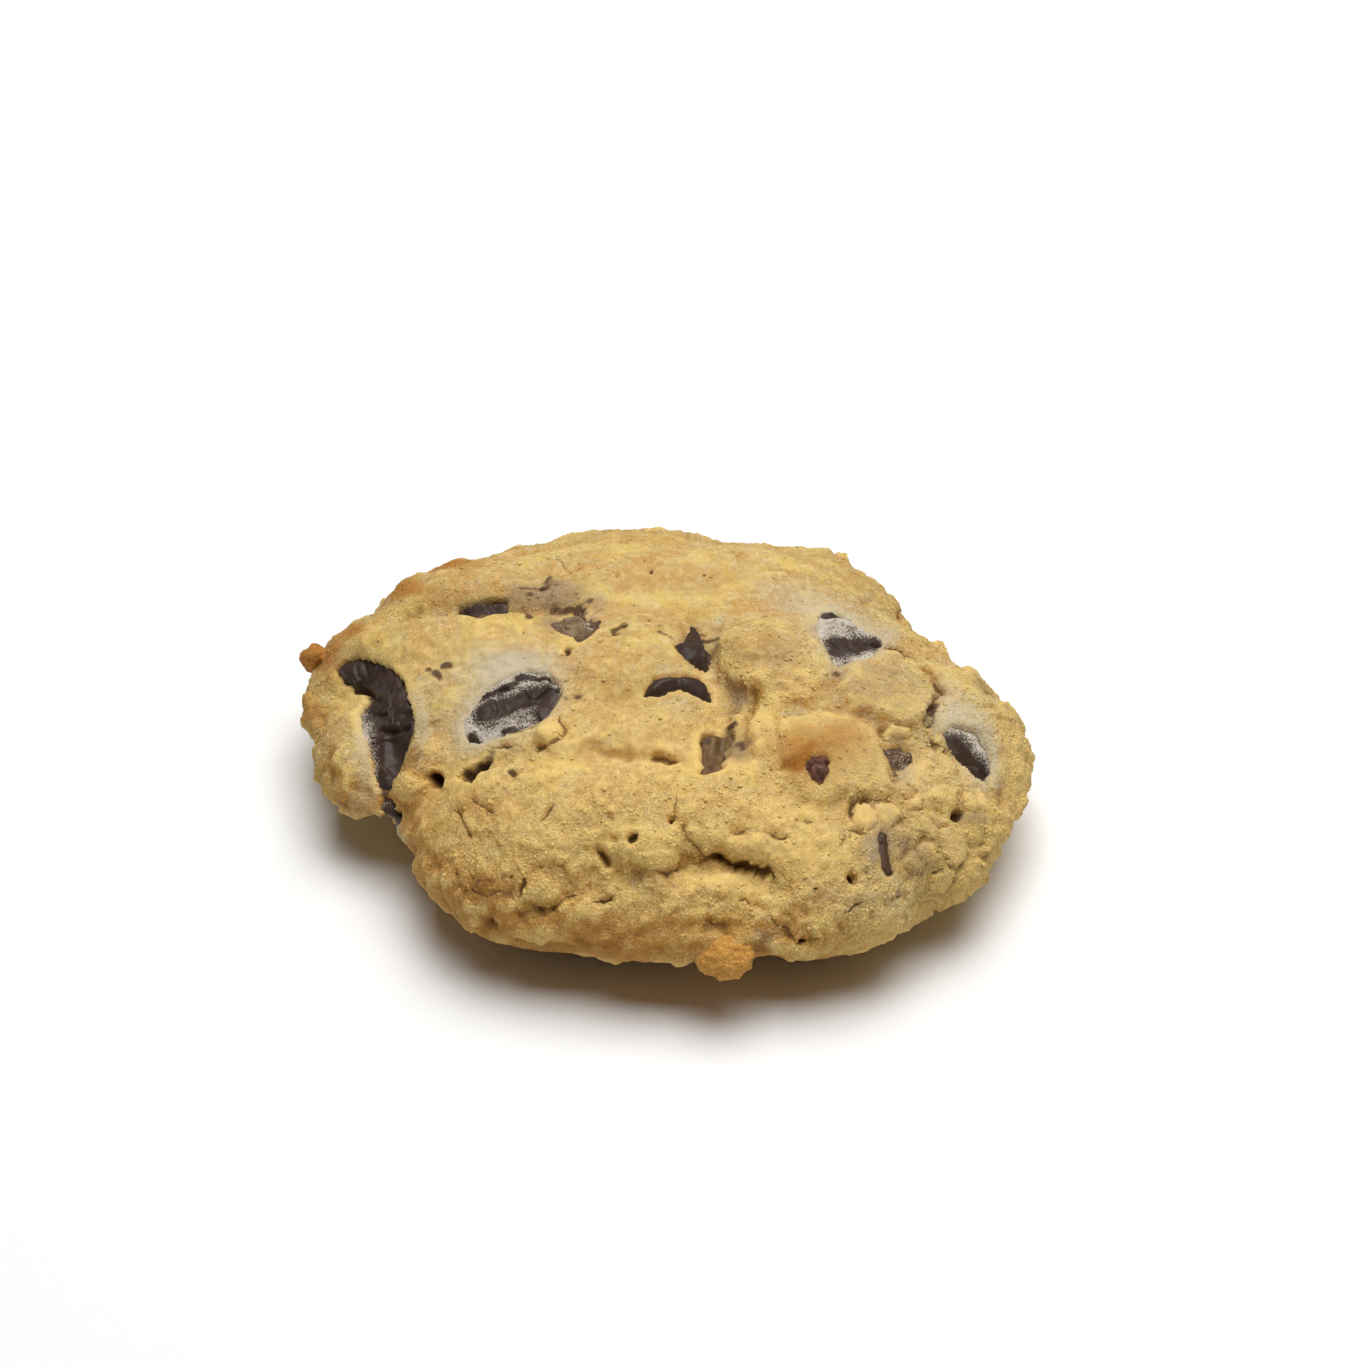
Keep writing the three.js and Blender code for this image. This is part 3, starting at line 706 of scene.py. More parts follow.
# Cracks, whose open line the dough's material paints as shade, some of them along the gaps at chunks' edges:
# half width, depth, line in the picture
CRACKS = {
    "tail of the split": (0.32, 0.6, [(698, 862), (708, 862), (719, 860)]),
    "line round the plate": (0.28, 0.6, [(684, 826), (687, 840), (695, 847), (706, 857), (719, 861)]),
    "slot in the band": (0.5, 1.3, [(656, 757), (666, 756), (674, 757)]),
    "right crack": (0.5, 1.7, [(934, 703), (930, 710), (929, 718), (928, 725)]),
    "upper end of the right crack": (0.36, 0.7, [(938, 684), (941, 690), (937, 697), (934, 703)]),
    "crevice behind the right dome": (0.65, 1.3, [(888, 650), (897, 650), (903, 653), (909, 658)]),
    "forked crease at the back": (0.35, 0.6, [
        (539, 558), (557, 560), (565, 566), (571, 572), (579, 567)]),
    "right edge of the long chunk": (0.6, 0.9, [
        (414, 724), (412, 735), (407, 750), (402, 762), (397, 776), (393, 788)]),
    "gap under the front chunk": (0.5, 0.8, [
        (503, 735), (512, 731), (522, 730), (531, 727), (540, 722), (546, 714), (554, 704), (561, 693)]),
    "under the small knob": (0.42, 1.0, [(536, 749), (547, 747), (557, 741)]),
    "beside the small knob": (0.38, 0.8, [(560, 719), (563, 727), (562, 736)]),
    "front crease": (0.3, 0.6, [(457, 812), (463, 818), (466, 828), (467, 834)]),
    "front crease above": (0.3, 0.6, [(472, 800), (480, 804), (487, 809), (492, 812)]),
    "short slash": (0.32, 0.9, [(542, 818), (546, 813), (551, 808)]),
    "hook": (0.34, 1.0, [(523, 880), (519, 885), (518, 891)]),
    "low slash": (0.34, 1.0, [(599, 902), (605, 899), (610, 895)]),
    "low ledge's end": (0.36, 0.6, [(553, 911), (558, 906), (562, 902)]),
    "low tick": (0.3, 0.6, [(568, 898), (574, 896)]),
    "under the right knoll": (0.42, 0.7, [(656, 871), (668, 874), (680, 868)]),
    "low right slash": (0.32, 0.6, [(771, 919), (779, 925), (786, 932), (793, 939)]),
    "mark above the split": (0.3, 0.7, [(740, 831), (748, 830), (756, 831)]),
    "mark right of it": (0.36, 0.9, [(774, 833), (781, 836), (788, 834)]),
    "mark under the lump": (0.3, 0.6, [(805, 819), (814, 819)]),
    "below the brown lump": (0.3, 0.5, [(866, 801), (876, 801), (887, 798)]),
    "left of the flakes": (0.32, 0.7, [(853, 811), (855, 806), (857, 803)]),
    "under the flakes": (0.36, 0.8, [(851, 827), (857, 829), (861, 831)]),
    "below the flakes": (0.36, 0.8, [(842, 843), (846, 838), (849, 836)]),
    "beside the brown lump": (0.32, 0.8, [(894, 765), (896, 772)]),
    "low dash": (0.36, 0.7, [(851, 910), (856, 907), (859, 904)]),
    "back dash": (0.32, 0.6, [(776, 578), (783, 580), (789, 580)]),
    "low nick": (0.3, 0.6, [(742, 899), (747, 898), (750, 902)]),
    "behind the pale flap": (0.32, 0.7, [(934, 742), (938, 749), (947, 755)]),
    "tick over the hole": (0.3, 0.6, [(677, 801), (676, 808), (674, 815)]),
    "crumbs beside the chunk": (0.4, 0.7, [(498, 748), (506, 746), (511, 745)])}
# Torn holes: depth and outline in the picture
TORN = {
    "front split": (1.15, [
        (714, 859), (720, 858), (727, 861), (734, 864), (741, 864), (747, 866), (754, 866), (761, 867),
        (767, 868), (771, 874), (777, 883), (771, 881), (766, 878), (761, 882), (757, 877), (752, 873),
        (744, 873), (735, 872), (728, 868), (721, 864)]),
    "forked pit": (1.4, [
        (459, 778), (466, 773), (474, 768), (482, 762), (489, 759), (486, 764), (478, 770), (474, 777),
        (472, 785), (469, 778), (463, 781)]),
    "hole under the left knoll": (1.4, [
        (597, 849), (603, 850), (607, 857), (609, 866), (604, 868), (600, 860)]),
    "foot of the valley": (1.0, [
        (694, 771), (702, 766), (712, 768), (722, 765), (721, 770), (711, 773), (702, 773)]),
    "between the left chunks": (1.8, [
        (378, 785), (391, 785), (392, 795), (391, 804), (380, 804), (379, 795)]),
    "beside the right dome": (1.2, [
        (926, 716), (929, 709), (933, 702), (935, 706), (932, 714), (931, 726), (928, 727)])}
TORN_EDGE = [(1.8, 0.22), (0.6, 0.04)]
# Folds where two lumps of dough meet and no crack opens: half width, depth, line in the picture
FOLDS = {
    "band's lower crease": (0.5, 0.7, [
        (590, 746), (604, 752), (626, 758), (650, 758), (675, 757), (703, 769)]),
    "valley's right wall": (0.6, 1.7, [(753, 688), (754, 700), (749, 711), (745, 722), (741, 734)]),
    "valley's lower wall": (0.5, 0.7, [(741, 734), (742, 744), (733, 752)]),
    "right crack, upper end": (0.55, 0.8, [
        (921, 668), (929, 670), (936, 680), (941, 688), (938, 697), (934, 703)]),
    "level crease": (0.38, 0.45, [(529, 851), (545, 852), (560, 851), (580, 852), (593, 850)]),
    "stain's line": (0.4, 0.5, [(472, 893), (485, 893), (498, 894), (510, 896)]),
    "low ledge": (0.5, 0.4, [(529, 911), (541, 914), (552, 913)]),
    "right fold": (0.42, 0.6, [(947, 896), (950, 886), (956, 873)]),
    "back right fold": (0.42, 0.7, [(862, 603), (868, 601), (874, 600)]),
    "right edge of the middle ridge": (0.5, 1.0, [
        (672, 640), (680, 651), (688, 661), (698, 669), (706, 676), (712, 683)]),
    "left edge of the brown lump": (0.55, 0.6, [(774, 722), (777, 735), (779, 750), (782, 767)]),
    "back edge of the brown lump": (0.7, 0.7, [
        (777, 718), (800, 714), (825, 712), (850, 714), (872, 721)]),
    "right edge of the brown lump": (0.6, 1.3, [
        (880, 732), (884, 742), (888, 755), (892, 770), (894, 778)]),
    "foot of the brown lump": (0.6, 0.6, [(800, 800), (820, 804), (845, 800), (866, 800)]),
    "rim notch": (0.6, 1.4, [(482, 926), (487, 932)]),
    "low right crease": (0.36, 0.8, [(762, 907), (772, 909), (782, 913), (791, 915)]),
    "low right ledge": (0.42, 0.9, [(793, 920), (803, 915), (812, 912)]),
    "streak on the ridge": (0.42, 0.7, [(601, 640), (610, 634), (620, 629), (630, 625)]),
    "back left crease": (0.35, 0.6, [(476, 567), (495, 570), (510, 573), (527, 578)])}
# Pits, knobs and hollows: middle, half width and half height in the picture, depth or height
PITS = {
    "hole by the knob": (435, 780, 6, 8, 2.4),
    "forked pit's end": (482, 765, 8, 4, 0.3),
    "forked pit": (470, 774, 8, 4, 0.3),
    "stained spot": (512, 770, 5, 4, 0.4),
    "pit on the left roll": (567, 650, 3.5, 5, 1.0),
    "hole in the left knoll": (633, 840, 4, 6, 1.0),
    "hole in the front": (672, 819, 4, 4, 0.9),
    "hole low on the right": (855, 878, 5, 5, 1.6),
    "hole far right": (961, 814, 6, 6.5, 1.6),
    "hole near the rim": (801, 942, 4, 3, 0.9)}
PORES = [
    (618, 574), (652, 569), (704, 573), (620, 534), (499, 867), (512, 876), (454, 872), (540, 866),
    (816, 890), (816, 902), (899, 896), (894, 903), (936, 876), (648, 621), (863, 753), (524, 634),
    (690, 783), (771, 769), (750, 817), (904, 701), (535, 772)]
PORE_HALF, PORE_DEPTH = 1.8, 0.5
KNOBS = {
    "toasted knob by the gully": (407, 787, 15, 15, 1.4),
    "small knob": (549, 732, 13, 13, 1.0),
    "left knoll": (619, 838, 28, 17, 0.7),
    "right knoll": (662, 851, 25, 18, 0.7),
    "lump above the split": (744, 847, 19, 14, 0.7),
    "plate": (703, 836, 15, 19, 0.35),
    "lump below the split": (720, 884, 32, 10, 0.55),
    "lump low on the left": (539, 893, 20, 15, 0.55),
    "lump low in the middle": (593, 911, 17, 14, 0.6),
    "lump on the right": (938, 766, 22, 15, 0.8),
    "small dome on the right": (944, 797, 14, 12, 0.7),
    "pale lump low on the right": (815, 925, 20, 13, 0.6),
    "crest bump 1": (591, 531, 10, 5, 0.1),
    "crest bump 2": (654, 531, 11, 5, 0.5),
    "crest bump 3": (679, 532, 8, 5, 0.4),
    "crest bump 4": (703, 541, 8, 5, 0.3),
    "crest bump 5": (729, 545, 8, 5, 0.3),
    "crest bump 6": (750, 546, 8, 5, 0.3),
    "crest bump 7": (822, 551, 12, 6, 0.5),
    "crest bump 8": (843, 555, 8, 6, 0.6),
    "left edge bump": (311, 702, 8, 10, 0.4),
    "lower left edge bump": (309, 726, 8, 8, 0.4),
    "back left corner": (400, 583, 10, 7, 0.4),
    "back left bump": (455, 561, 12, 5, 0.4),
    "right edge bump": (971, 671, 10, 7, 0.4),
    "upper right edge bump": (922, 638, 10, 6, 0.3)}
# Oat flakes, which lie flat on the dough: height and outline in the picture
FLAKES = {
    "yellow flake": (0.5, [
        (872, 812), (878, 806), (890, 803), (899, 808), (902, 815), (895, 820), (890, 828), (881, 826),
        (877, 819)]),
    "flake beside it": (0.38, [
        (855, 806), (866, 803), (873, 807), (874, 815), (872, 826), (864, 826), (856, 822)]),
    "large oat flake": (0.6, [
        (938, 832), (948, 828), (958, 831), (965, 840), (967, 852), (963, 862), (957, 867), (949, 864),
        (944, 855), (942, 845)]),
    "second oat flake": (0.45, [(919, 847), (927, 840), (935, 845), (938, 857), (931, 863), (921, 861)]),
    "oat flake above it": (0.35, [
        (921, 820), (928, 818), (936, 827), (938, 838), (929, 837), (923, 829)]),
    "oat flake below it": (0.55, [
        (930, 892), (938, 878), (946, 867), (953, 869), (950, 881), (942, 895)]),
    "oat flake by the hole": (0.35, [(910, 798), (917, 794), (922, 799), (920, 806), (912, 806)]),
    "oat nib": (0.5, [(984, 848), (989, 846), (992, 852), (989, 859), (984, 857)]),
    "pale flap": (0.6, [(934, 739), (943, 736), (951, 743), (952, 755), (945, 757), (937, 751)]),
    "yellow lip": (0.5, [(883, 732), (895, 728), (907, 731), (906, 737), (896, 739), (886, 739)]),
    "pale flake in the valley": (0.3, [(721, 713), (731, 710), (741, 712), (739, 717), (729, 718)]),
    "right flake": (0.5, [(909, 855), (919, 851), (928, 859), (925, 871), (914, 873), (906, 865)]),
    "far right flake": (0.35, [(968, 795), (979, 790), (986, 799), (982, 811), (972, 812), (965, 804)])}
# How far a flake calms the crags under it, and how deep the groove round it is and how dark its painted shade
# is
FLAKE_CALM, FLAKE_GROOVE, FLAKE_CREASE = 0.7, 0.14, 0.4
FLAKE_LINE, FLAKE_LINE_WIDE = 0.3, 0.25    # how far out that groove runs, and how wide it is
FLAKE_EDGE, FLAKE_PALE = 0.14, 0.45        # how soft the edge of a flake is, and how pale it is
# Knobs and hollows that make the rim's edge uneven: middle, half width and half height in the picture, height
RIM = {
    "right hollow": (996, 688, 20, 12, -2.0),
    "right knob": (945, 645, 12, 10, 1.4),
    "back hollow": (785, 543, 26, 8, -1.0),
    "back knob": (848, 556, 10, 8, 0.6),
    "back right hollow": (903, 614, 12, 12, -1.3),
    "left hollow": (372, 606, 16, 12, -1.3),
    "back left knob": (415, 577, 14, 8, 0.4),
    "left knob": (335, 638, 12, 10, 0.5),
    "left lobe's foot": (350, 812, 16, 10, 0.9),
    "gully's mouth": (405, 850, 12, 12, -1.0),
    "rim notch": (486, 928, 7, 9, -1.3),
    "low left hollow": (535, 948, 40, 10, -0.8),
    "low left corner": (482, 936, 16, 12, -1.0),
    "low bulge": (625, 962, 25, 8, 0.5),
    "low right hollow": (935, 908, 22, 14, -1.2)}
HOLLOWS = {
    "valley beside the arch": (733, 701, 20, 18, 1.0),
    "hollow under the knolls": (629, 877, 18, 13, 0.8),
    "hollow above the nub": (716, 928, 26, 9, 0.7),
    "hollow low on the left": (536, 911, 16, 6, 0.3),
    "dent in the brown lump": (796, 765, 13, 7, 0.9),
    "hollow above the knoll's hole": (603, 842, 10, 8, 0.5),
    "hollow under the brown lump": (838, 812, 20, 8, 0.5),
    "hollow right of the flakes": (909, 818, 7, 9, 0.6)}
# Colour marks: middle, half width and half height in the picture, strength
TOASTED = {
    "toasted knob": (407, 787, 16, 16, 0.45),
    "left edge": (312, 712, 17, 34, 1.0),
    "left corner": (330, 656, 24, 18, 1.2),
    "back left rim": (404, 588, 34, 16, 1.3),
    "back left crest": (450, 565, 34, 10, 1.1),
    "rim between": (352, 632, 26, 14, 1.1),
    "slope behind the slit": (480, 592, 30, 7, 0.4),
    "back crest, left": (545, 547, 30, 6, 0.5),
    "back crest": (625, 534, 40, 6, 0.6),
    "back crest, right": (690, 538, 30, 6, 0.5),
    "back right crest": (825, 556, 26, 9, 0.6),
    "round the bit": (817, 767, 20, 20, 0.8),
    "brown lump": (832, 737, 46, 18, 1.0),
    "brown lump's left": (790, 750, 14, 24, 0.5),
    "brown lump's front": (860, 770, 30, 26, 0.35),
    "dent": (796, 763, 14, 7, 0.8),
    "low patch": (615, 944, 36, 15, 0.7),
    "low left patch": (503, 934, 18, 9, 0.6),
    "left lobe": (334, 760, 12, 20, 0.35),
    "beside the long chunk": (448, 715, 14, 30, 0.35),
    "left of the knob": (440, 735, 18, 12, 0.3),
    "right edge": (990, 800, 14, 30, 0.3),
    "far right mark": (1004, 748, 5, 5, 0.8),
    "right low mark": (995, 797, 6, 6, 0.6),
    "ridge": (690, 664, 18, 10, 0.35),
    "left roll": (380, 640, 26, 8, 0.25),
    "above the valley": (735, 722, 14, 6, 0.5),
    "front": (465, 805, 44, 30, 0.6),
    "mark in the front": (589, 764, 5, 8, 0.5),
    "front knoll": (612, 838, 18, 10, 0.4),
    "band": (650, 750, 90, 14, 0.25),
    "stain": (480, 882, 22, 13, 1.15),
    "stain's foot": (468, 898, 14, 8, 0.6)}
# Where a knob that toasted orange is brightened with painted light against the shade it lies in
KNOB_PAINTED_LIGHT = {"toasted knob": (407, 788, 15, 15, 1.3)}
SMEARED = {
    "dark dot": (528, 612, 4, 4, 2.0),
    "dot left": (531, 596, 3.5, 3, 1.5),
    "dot right": (592, 601, 3, 4, 1.6),
    "crumb 1": (447, 664, 6, 4, 1.9),
    "crumb 2": (437, 674, 5, 5, 1.6),
    "crumb 3": (428, 672, 3, 3, 1.3),
    "crumb 4": (567, 682, 5, 3, 0.8),
    "crumb 5": (578, 696, 6, 3, 1.1),
    "crumb 6": (566, 699, 5, 3, 0.9),
    "crumb 7": (504, 746, 6, 3, 1.1),
    "crumb 8": (490, 752, 5, 3, 1.0),
    "crumb 9": (835, 674, 5, 3, 1.0),
    "crumb 10": (893, 677, 6, 5, 0.6),
    "crumb 11": (512, 770, 5, 4, 0.8),
    "crumb 12": (862, 754, 4, 3, 0.7),
    "mottle above": (928, 669, 7, 3, 0.8),
    "brown patch": (925, 657, 5, 3, 0.6),
    "stain": (472, 884, 14, 12, 0.42),
    "underside bit": (453, 918, 7, 5, 1.2),
    # Painted shade in the forked pit
    "in the forked pit": (480, 767, 9, 4, 1.1),
    "foot of the forked pit": (470, 778, 4, 4, 1.0),
    "grey patch": (800, 738, 4, 4, 0.5),
    "round the bit": (819, 769, 16, 19, 0.75)}
# Juice that ran out of the banana and candied
AMBER = {
    "beside the bit": (806, 752, 8, 9, 1.3),
    "dent": (795, 764, 11, 6, 1.0),
    "above the bit": (812, 746, 5, 5, 0.6)}
# Thin veils of melted chocolate and of soaked crumb, paler than a smear, and veils of painted shade in
# hollows, on the valley floor and at the feet of lumps
VEILED = {
    "smear": (550, 594, 36, 15, 1.5),
    "smear's end": (597, 604, 8, 10, 0.7),
    "red patch": (555, 585, 7, 5, 0.8),
    "left of the smeared chunk": (552, 622, 18, 9, 1.2),
    "left of the slit": (468, 606, 22, 7, 0.7),
    "right of the slit": (516, 604, 10, 10, 0.7),
    "crease's veil": (515, 577, 16, 4, 0.7),
    "bloom between": (838, 628, 22, 8, 0.9),
    "below the back right chunk": (839, 662, 9, 5, 0.7),
    "mottle": (940, 690, 6, 9, 0.7),
    "mottle by the far right chunk": (998, 783, 10, 9, 0.7),
    "stain": (480, 884, 20, 11, 0.4),
    "brown by the far hole": (975, 819, 13, 8, 0.7),
    "brown flank": (615, 861, 8, 9, 0.6),
    "hollow above the nub": (714, 928, 24, 7, 0.6),
    "shade": (629, 878, 18, 10, 0.5),
    "low shade": (537, 912, 14, 5, 0.6),
    "grey patch": (791, 712, 8, 3, 0.8),
    "speckle": (665, 934, 20, 12, 0.35),
    "valley floor": (735, 694, 14, 14, 1.1),
    "valley's foot": (726, 712, 8, 6, 0.5),
    "right of the banana": (736, 748, 14, 16, 1.5),
    "over the banana": (730, 728, 8, 4, 0.6),
    "mark": (668, 608, 4, 4, 0.6),
    "band's mark": (601, 743, 12, 4, 0.6),
    "lump's foot": (840, 792, 26, 8, 0.5),
    "right of the hole": (609, 856, 4, 5, 0.5),
    "under the covered chunk": (904, 772, 9, 11, 0.9),
    "under the chunk's lip": (896, 740, 10, 4, 0.8),
    "beside the bit": (806, 772, 6, 8, 0.7),
    "right mound": (776, 655, 28, 20, 0.75),
    "right dome": (870, 690, 50, 34, 0.6),
    "right": (965, 740, 60, 80, 0.2),
    "between the flakes": (912, 838, 40, 32, 0.6),
    "right low rim": (985, 828, 24, 30, 0.25),
    "slope by the sliver": (880, 850, 16, 26, 0.9),
    "right front": (918, 870, 22, 20, 0.6),
    "middle": (650, 685, 90, 45, 0.4),
    "back": (690, 580, 140, 30, 0.35),
    "low front": (600, 925, 70, 10, 0.35)}
# Lines of melted chocolate, and lines of painted shade in pits, cracks, a fold and gaps under chunks: half
# width, strength and the line in the picture
STREAKS = {
    "smear's left end": (0.32, 1.2, [(521, 589), (529, 589)]),
    "smear's dash": (0.34, 1.3, [(535, 589), (542, 589)]),
    "smear's red streak": (0.55, 1.1, [(545, 589), (548, 584), (550, 578)]),
    "below the smear": (0.32, 1.0, [(536, 611), (544, 609)]),
    "long line": (0.4, 1.3, [(552, 612), (560, 611), (568, 608)]),
    "over the smeared chunk": (0.45, 1.3, [(572, 608), (580, 609), (586, 612)]),
    "into the smeared chunk": (0.4, 1.1, [(575, 610), (581, 617)]),
    "small patch": (0.5, 0.8, [(554, 606), (557, 604)]),
    "right of it": (0.3, 0.8, [(578, 605), (584, 604)]),
    "far end": (0.3, 0.8, [(597, 612), (603, 609), (604, 602)]),
    # The next two are painted shade in the forked pit and in the hole between the left chunks
    "forked pit": (0.5, 1.3, [(468, 780), (474, 773), (484, 764), (489, 760)]),
    "between the left chunks": (0.6, 1.4, [(385, 786), (385, 795), (386, 804)]),
    "tail of the slit": (0.5, 0.9, [(434, 614), (445, 611), (456, 609)]),
    "lower streak": (0.5, 1.3, [(602, 639), (609, 637), (616, 633)]),
    "upper streak": (0.45, 1.3, [(612, 630), (618, 628), (626, 625)]),
    "chip's right barb": (0.45, 1.3, [(700, 641), (711, 641), (720, 638)]),
    "chip's upper barb": (0.35, 1.0, [(699, 634), (705, 636)]),
    "chip's left barb": (0.35, 1.0, [(659, 633), (668, 636), (677, 641)]),
    "upper slit of the back right chunk": (0.6, 1.3, [(824, 618), (836, 616), (848, 618)]),
    "stain's line": (0.26, 1.0, [(472, 893), (485, 893), (498, 894), (510, 896)]),
    "stain's upper line": (0.3, 0.6, [(478, 881), (490, 879)]),
    "over the banana": (0.4, 1.2, [(728, 728), (734, 725)]),
    "beside the banana": (0.5, 1.2, [(739, 742), (741, 746)]),
    # The next five are painted shade under the covered chunk, in the right fold and cracks, and at the far
    # right chunk's foot
    "under the covered chunk": (0.3, 1.3, [(895, 769), (895, 774)]),
    "in the right fold": (0.4, 1.0, [(934, 680), (939, 687)]),
    "right crack": (0.35, 1.4, [(938, 703), (935, 710), (934, 718), (933, 726)]),
    "behind the pale flap": (0.25, 1.0, [(934, 743), (940, 751), (948, 757)]),
    "far right chunk's foot": (0.3, 1.0, [(984, 780), (990, 789), (998, 783)])}
PALE = {
    "yellow flake": (889, 815, 13, 11, 1.0),
    "large oat flake": (950, 848, 17, 18, 0.6),
    "oat nib": (988, 851, 5, 5, 1.0),
    "pale flake in the valley": (731, 714, 10, 3.5, 1.0),
    "yellow lip": (894, 733, 11, 5, 0.6),
    "back": (690, 585, 18, 9, 0.3),
    "front lump": (772, 806, 18, 12, 0.6),
    "flap": (942, 745, 9, 7, 0.5),
    "small knob": (549, 732, 12, 11, 0.4),
    "low lump": (593, 914, 12, 10, 0.5),
    "left roll": (420, 652, 60, 18, 0.5),
    "left": (500, 640, 50, 18, 0.45),
    "front": (545, 836, 24, 12, 0.3),
    "middle right": (800, 665, 26, 22, 0.4),
    "front right": (800, 850, 30, 20, 0.3),
    "right": (985, 725, 30, 40, 0.7)}
# Crumb that is too small to name: clods of dough at three sizes, each set at a height of its own, over soft
# crags
CRAG_SPACING, CRAG_HIGH = 6.5, 0.32
# Where the dough is cobbled: middle, half width and half height in the picture, strength
COBBLED = {
    "right front": (905, 850, 75, 60, 1.0),
    "right": (975, 760, 50, 80, 0.8),
    "low front": (600, 895, 130, 36, 0.35),
    "low left": (470, 860, 50, 50, 0.35),
    "low right": (800, 910, 90, 35, 0.5),
    "right mound": (780, 660, 50, 40, 0.3),
    "back right": (900, 640, 60, 40, 0.5),
    "left": (330, 740, 30, 60, 0.15),
    "slit and smear": (540, 600, 70, 20, 0.3),
    "front": (560, 800, 110, 40, 0.3),
    "middle of the front": (725, 812, 90, 46, 0.5)}
# Where its skin set smooth
SMOOTH = {
    "left roll": (430, 650, 90, 26, 0.4),
    "left": (515, 640, 60, 24, 0.3),
    "back": (690, 585, 170, 34, 0.35),
    "band": (640, 745, 110, 22, 0.45),
    "front right": (770, 850, 70, 36, 0.3),
    "middle roll": (640, 660, 60, 30, 0.2)}
# Spacing, spread of heights, crease between two, its share, and how much is left where the dough is smooth
CLODS = [(3.6, 0.36, 0.05, 0.2, 0.55), (1.7, 0.24, 0.06, 0.15, 0.35), (0.95, 0.18, 0.05, 0.15, 0.35)]
# Spacing and height of the grain, and of the crags along the rim's edge, where it broke
GRAINS = [(0.95, 0.12), (0.6, 0.11)]
RIM_CRAGS = [(5.0, 0.6), (2.4, 0.45), (1.2, 0.14)]
RAGGED = [(1.6, 0.4), (0.7, 0.2)]          # spacing and reach of the wander that roughens every edge
BACK_CRUMB = 0.4                           # how cobbled the back is
CRUMB_PATCHES, CRUMB_PATCH_SPACING = 0.2, 9.0
# How wide a crack is open, and how deep and wide grooves are, against their size
CRACK_OPEN, CRACK_GROOVE, CRACK_WIDE = 0.42, 0.55, 0.8
FOLD_GROOVE, FOLD_WIDE, GROOVE_LEAST = 0.5, 1.2, 0.3
WIGGLE, WIGGLE_SPACING = 0.5, 1.4          # how the width of a groove varies along it
CRACK_REACH, CRACK_FULL = 1.2, 0.45        # how far from its line a crack shows, and shows in full
WIDE_CRACK, WIDE_SHOWS = 0.55, 0.6         # light reaches into one wider than this, so less of its line shows
CRACK_CREASE, FOLD_CREASE, TORN_CREASE = 0.6, 0.3, 0.4   # how much painted shade darkens them inside
TORN_SOFT = 0.45                           # how soft the edge of a torn hole is
LIP_WIDE, POCKET_CALM = 0.9, 0.7           # how wide the lip of a pocket is, and how far it calms the crags
EDGE_DUST = 0.38                           # how much of a chunk's dust lies on the dough along it
FAR_OFF = 9.0                              # where no crack and no pit is near
UNDERSIDE_ROUGHNESS = 0.45
FRONT_PAINTED_LIGHT, SIDE_PAINTED_LIGHT = 0.5, 1.6           # how much painted light pales the front and the right side against the top
GRAIN_LEAST, GRAIN_STEEP = 0.5, 1.0        # how grainy the top is, and how much more so the steep sides are
SHADE_WARM, FRONT_SHADE_WARM = 2.0, 0.6          # how far painted warm shade tints a lump's lower side and the steep front
CREST_PAINTED_LIGHT, HOLLOW_PAINTED_SHADE = 1.8, 1.3       # how far a millimetre of relief pales a crest with painted light and browns a hollow with painted shade
# How far the low front of the rim, the underside and the foot are toasted
LOW_TOAST, UNDER_TOAST, FOOT_TOAST = 0.42, 0.5, 0.6
# Cells of the net over which a point is set against its neighbours, for broad, small and sharp relief
BROAD_REACH, SMALL_REACH, SHARP_REACH = 6, 3, 2
FOOT_RINGS = [0.79, 0.74, 0.68, 0.62, 0.56, 0.5, 0.4, 0.26, 0.12]


def line_offset(points, up, line):
    """Distance of points from a line on the dough, below zero on one of its sides."""
    nearest = np.full(len(points), np.inf)
    for start, end in zip(line, line[1:]):
        way = end - start
        t = np.clip((points - start) @ way / max(1e-9, way @ way), 0, 1)
        away = points - start - t[:, None] * way
        distance = np.linalg.norm(away, axis=1)
        side_of = np.where((np.cross(way, away) * up).sum(1) < 0, -1, 1)
        nearest = np.where(distance < np.abs(nearest), side_of * distance, nearest)
    return nearest


ragged = wandered(form, RAGGED)
back_crumb = BACK_CRUMB * smooth_step(form[:, 1], 18, 34)
crumb_patches = CRUMB_PATCHES * noise_field(form + 40, CRUMB_PATCH_SPACING, 2)
crumbly = np.clip(stain(form, COBBLED) + back_crumb + crumb_patches, 0, 1)
height = CRAG_HIGH * noise_field(form, CRAG_SPACING, 3)
for spacing, spread, crease_depth, edge_share, smooth_left in CLODS:
    rough_here = smooth_left + (1 - smooth_left) * crumbly
    height += rough_here * clod_field(ragged / spacing, spread, crease_depth, edge_share)
for spacing, high in GRAINS:
    height += high * noise_field(form, spacing)
flaked, flake_height, flake_line = (np.zeros(len(form)) for _ in range(3))
for high, pixels in FLAKES.values():
    inside = depth_inside(ragged, on_dough(pixels))
    covers = smooth_step(inside, -FLAKE_EDGE, FLAKE_EDGE)
    flake_height = np.maximum(flake_height, high * covers)
    flaked = np.maximum(flaked, covers)
    groove = np.exp(-(((inside + FLAKE_LINE) / FLAKE_LINE_WIDE) ** 2))
    flake_line = np.maximum(flake_line, groove)
height *= 1 - FLAKE_CALM * flaked
height += flake_height - FLAKE_GROOVE * flake_line
rim_edge = smooth_step(share, 0.93, 0.99)
for spacing, high in RIM_CRAGS:
    height += rim_edge * high * noise_field(form + 7, spacing, 2)
for high, soft, pixels in ROLLS.values():
    height += high * smooth_step(depth_inside(ragged, on_dough(pixels)), -soft, soft)
height += stain(ragged, KNOBS, 4) - stain(ragged, HOLLOWS, 3) + stain(ragged, RIM)
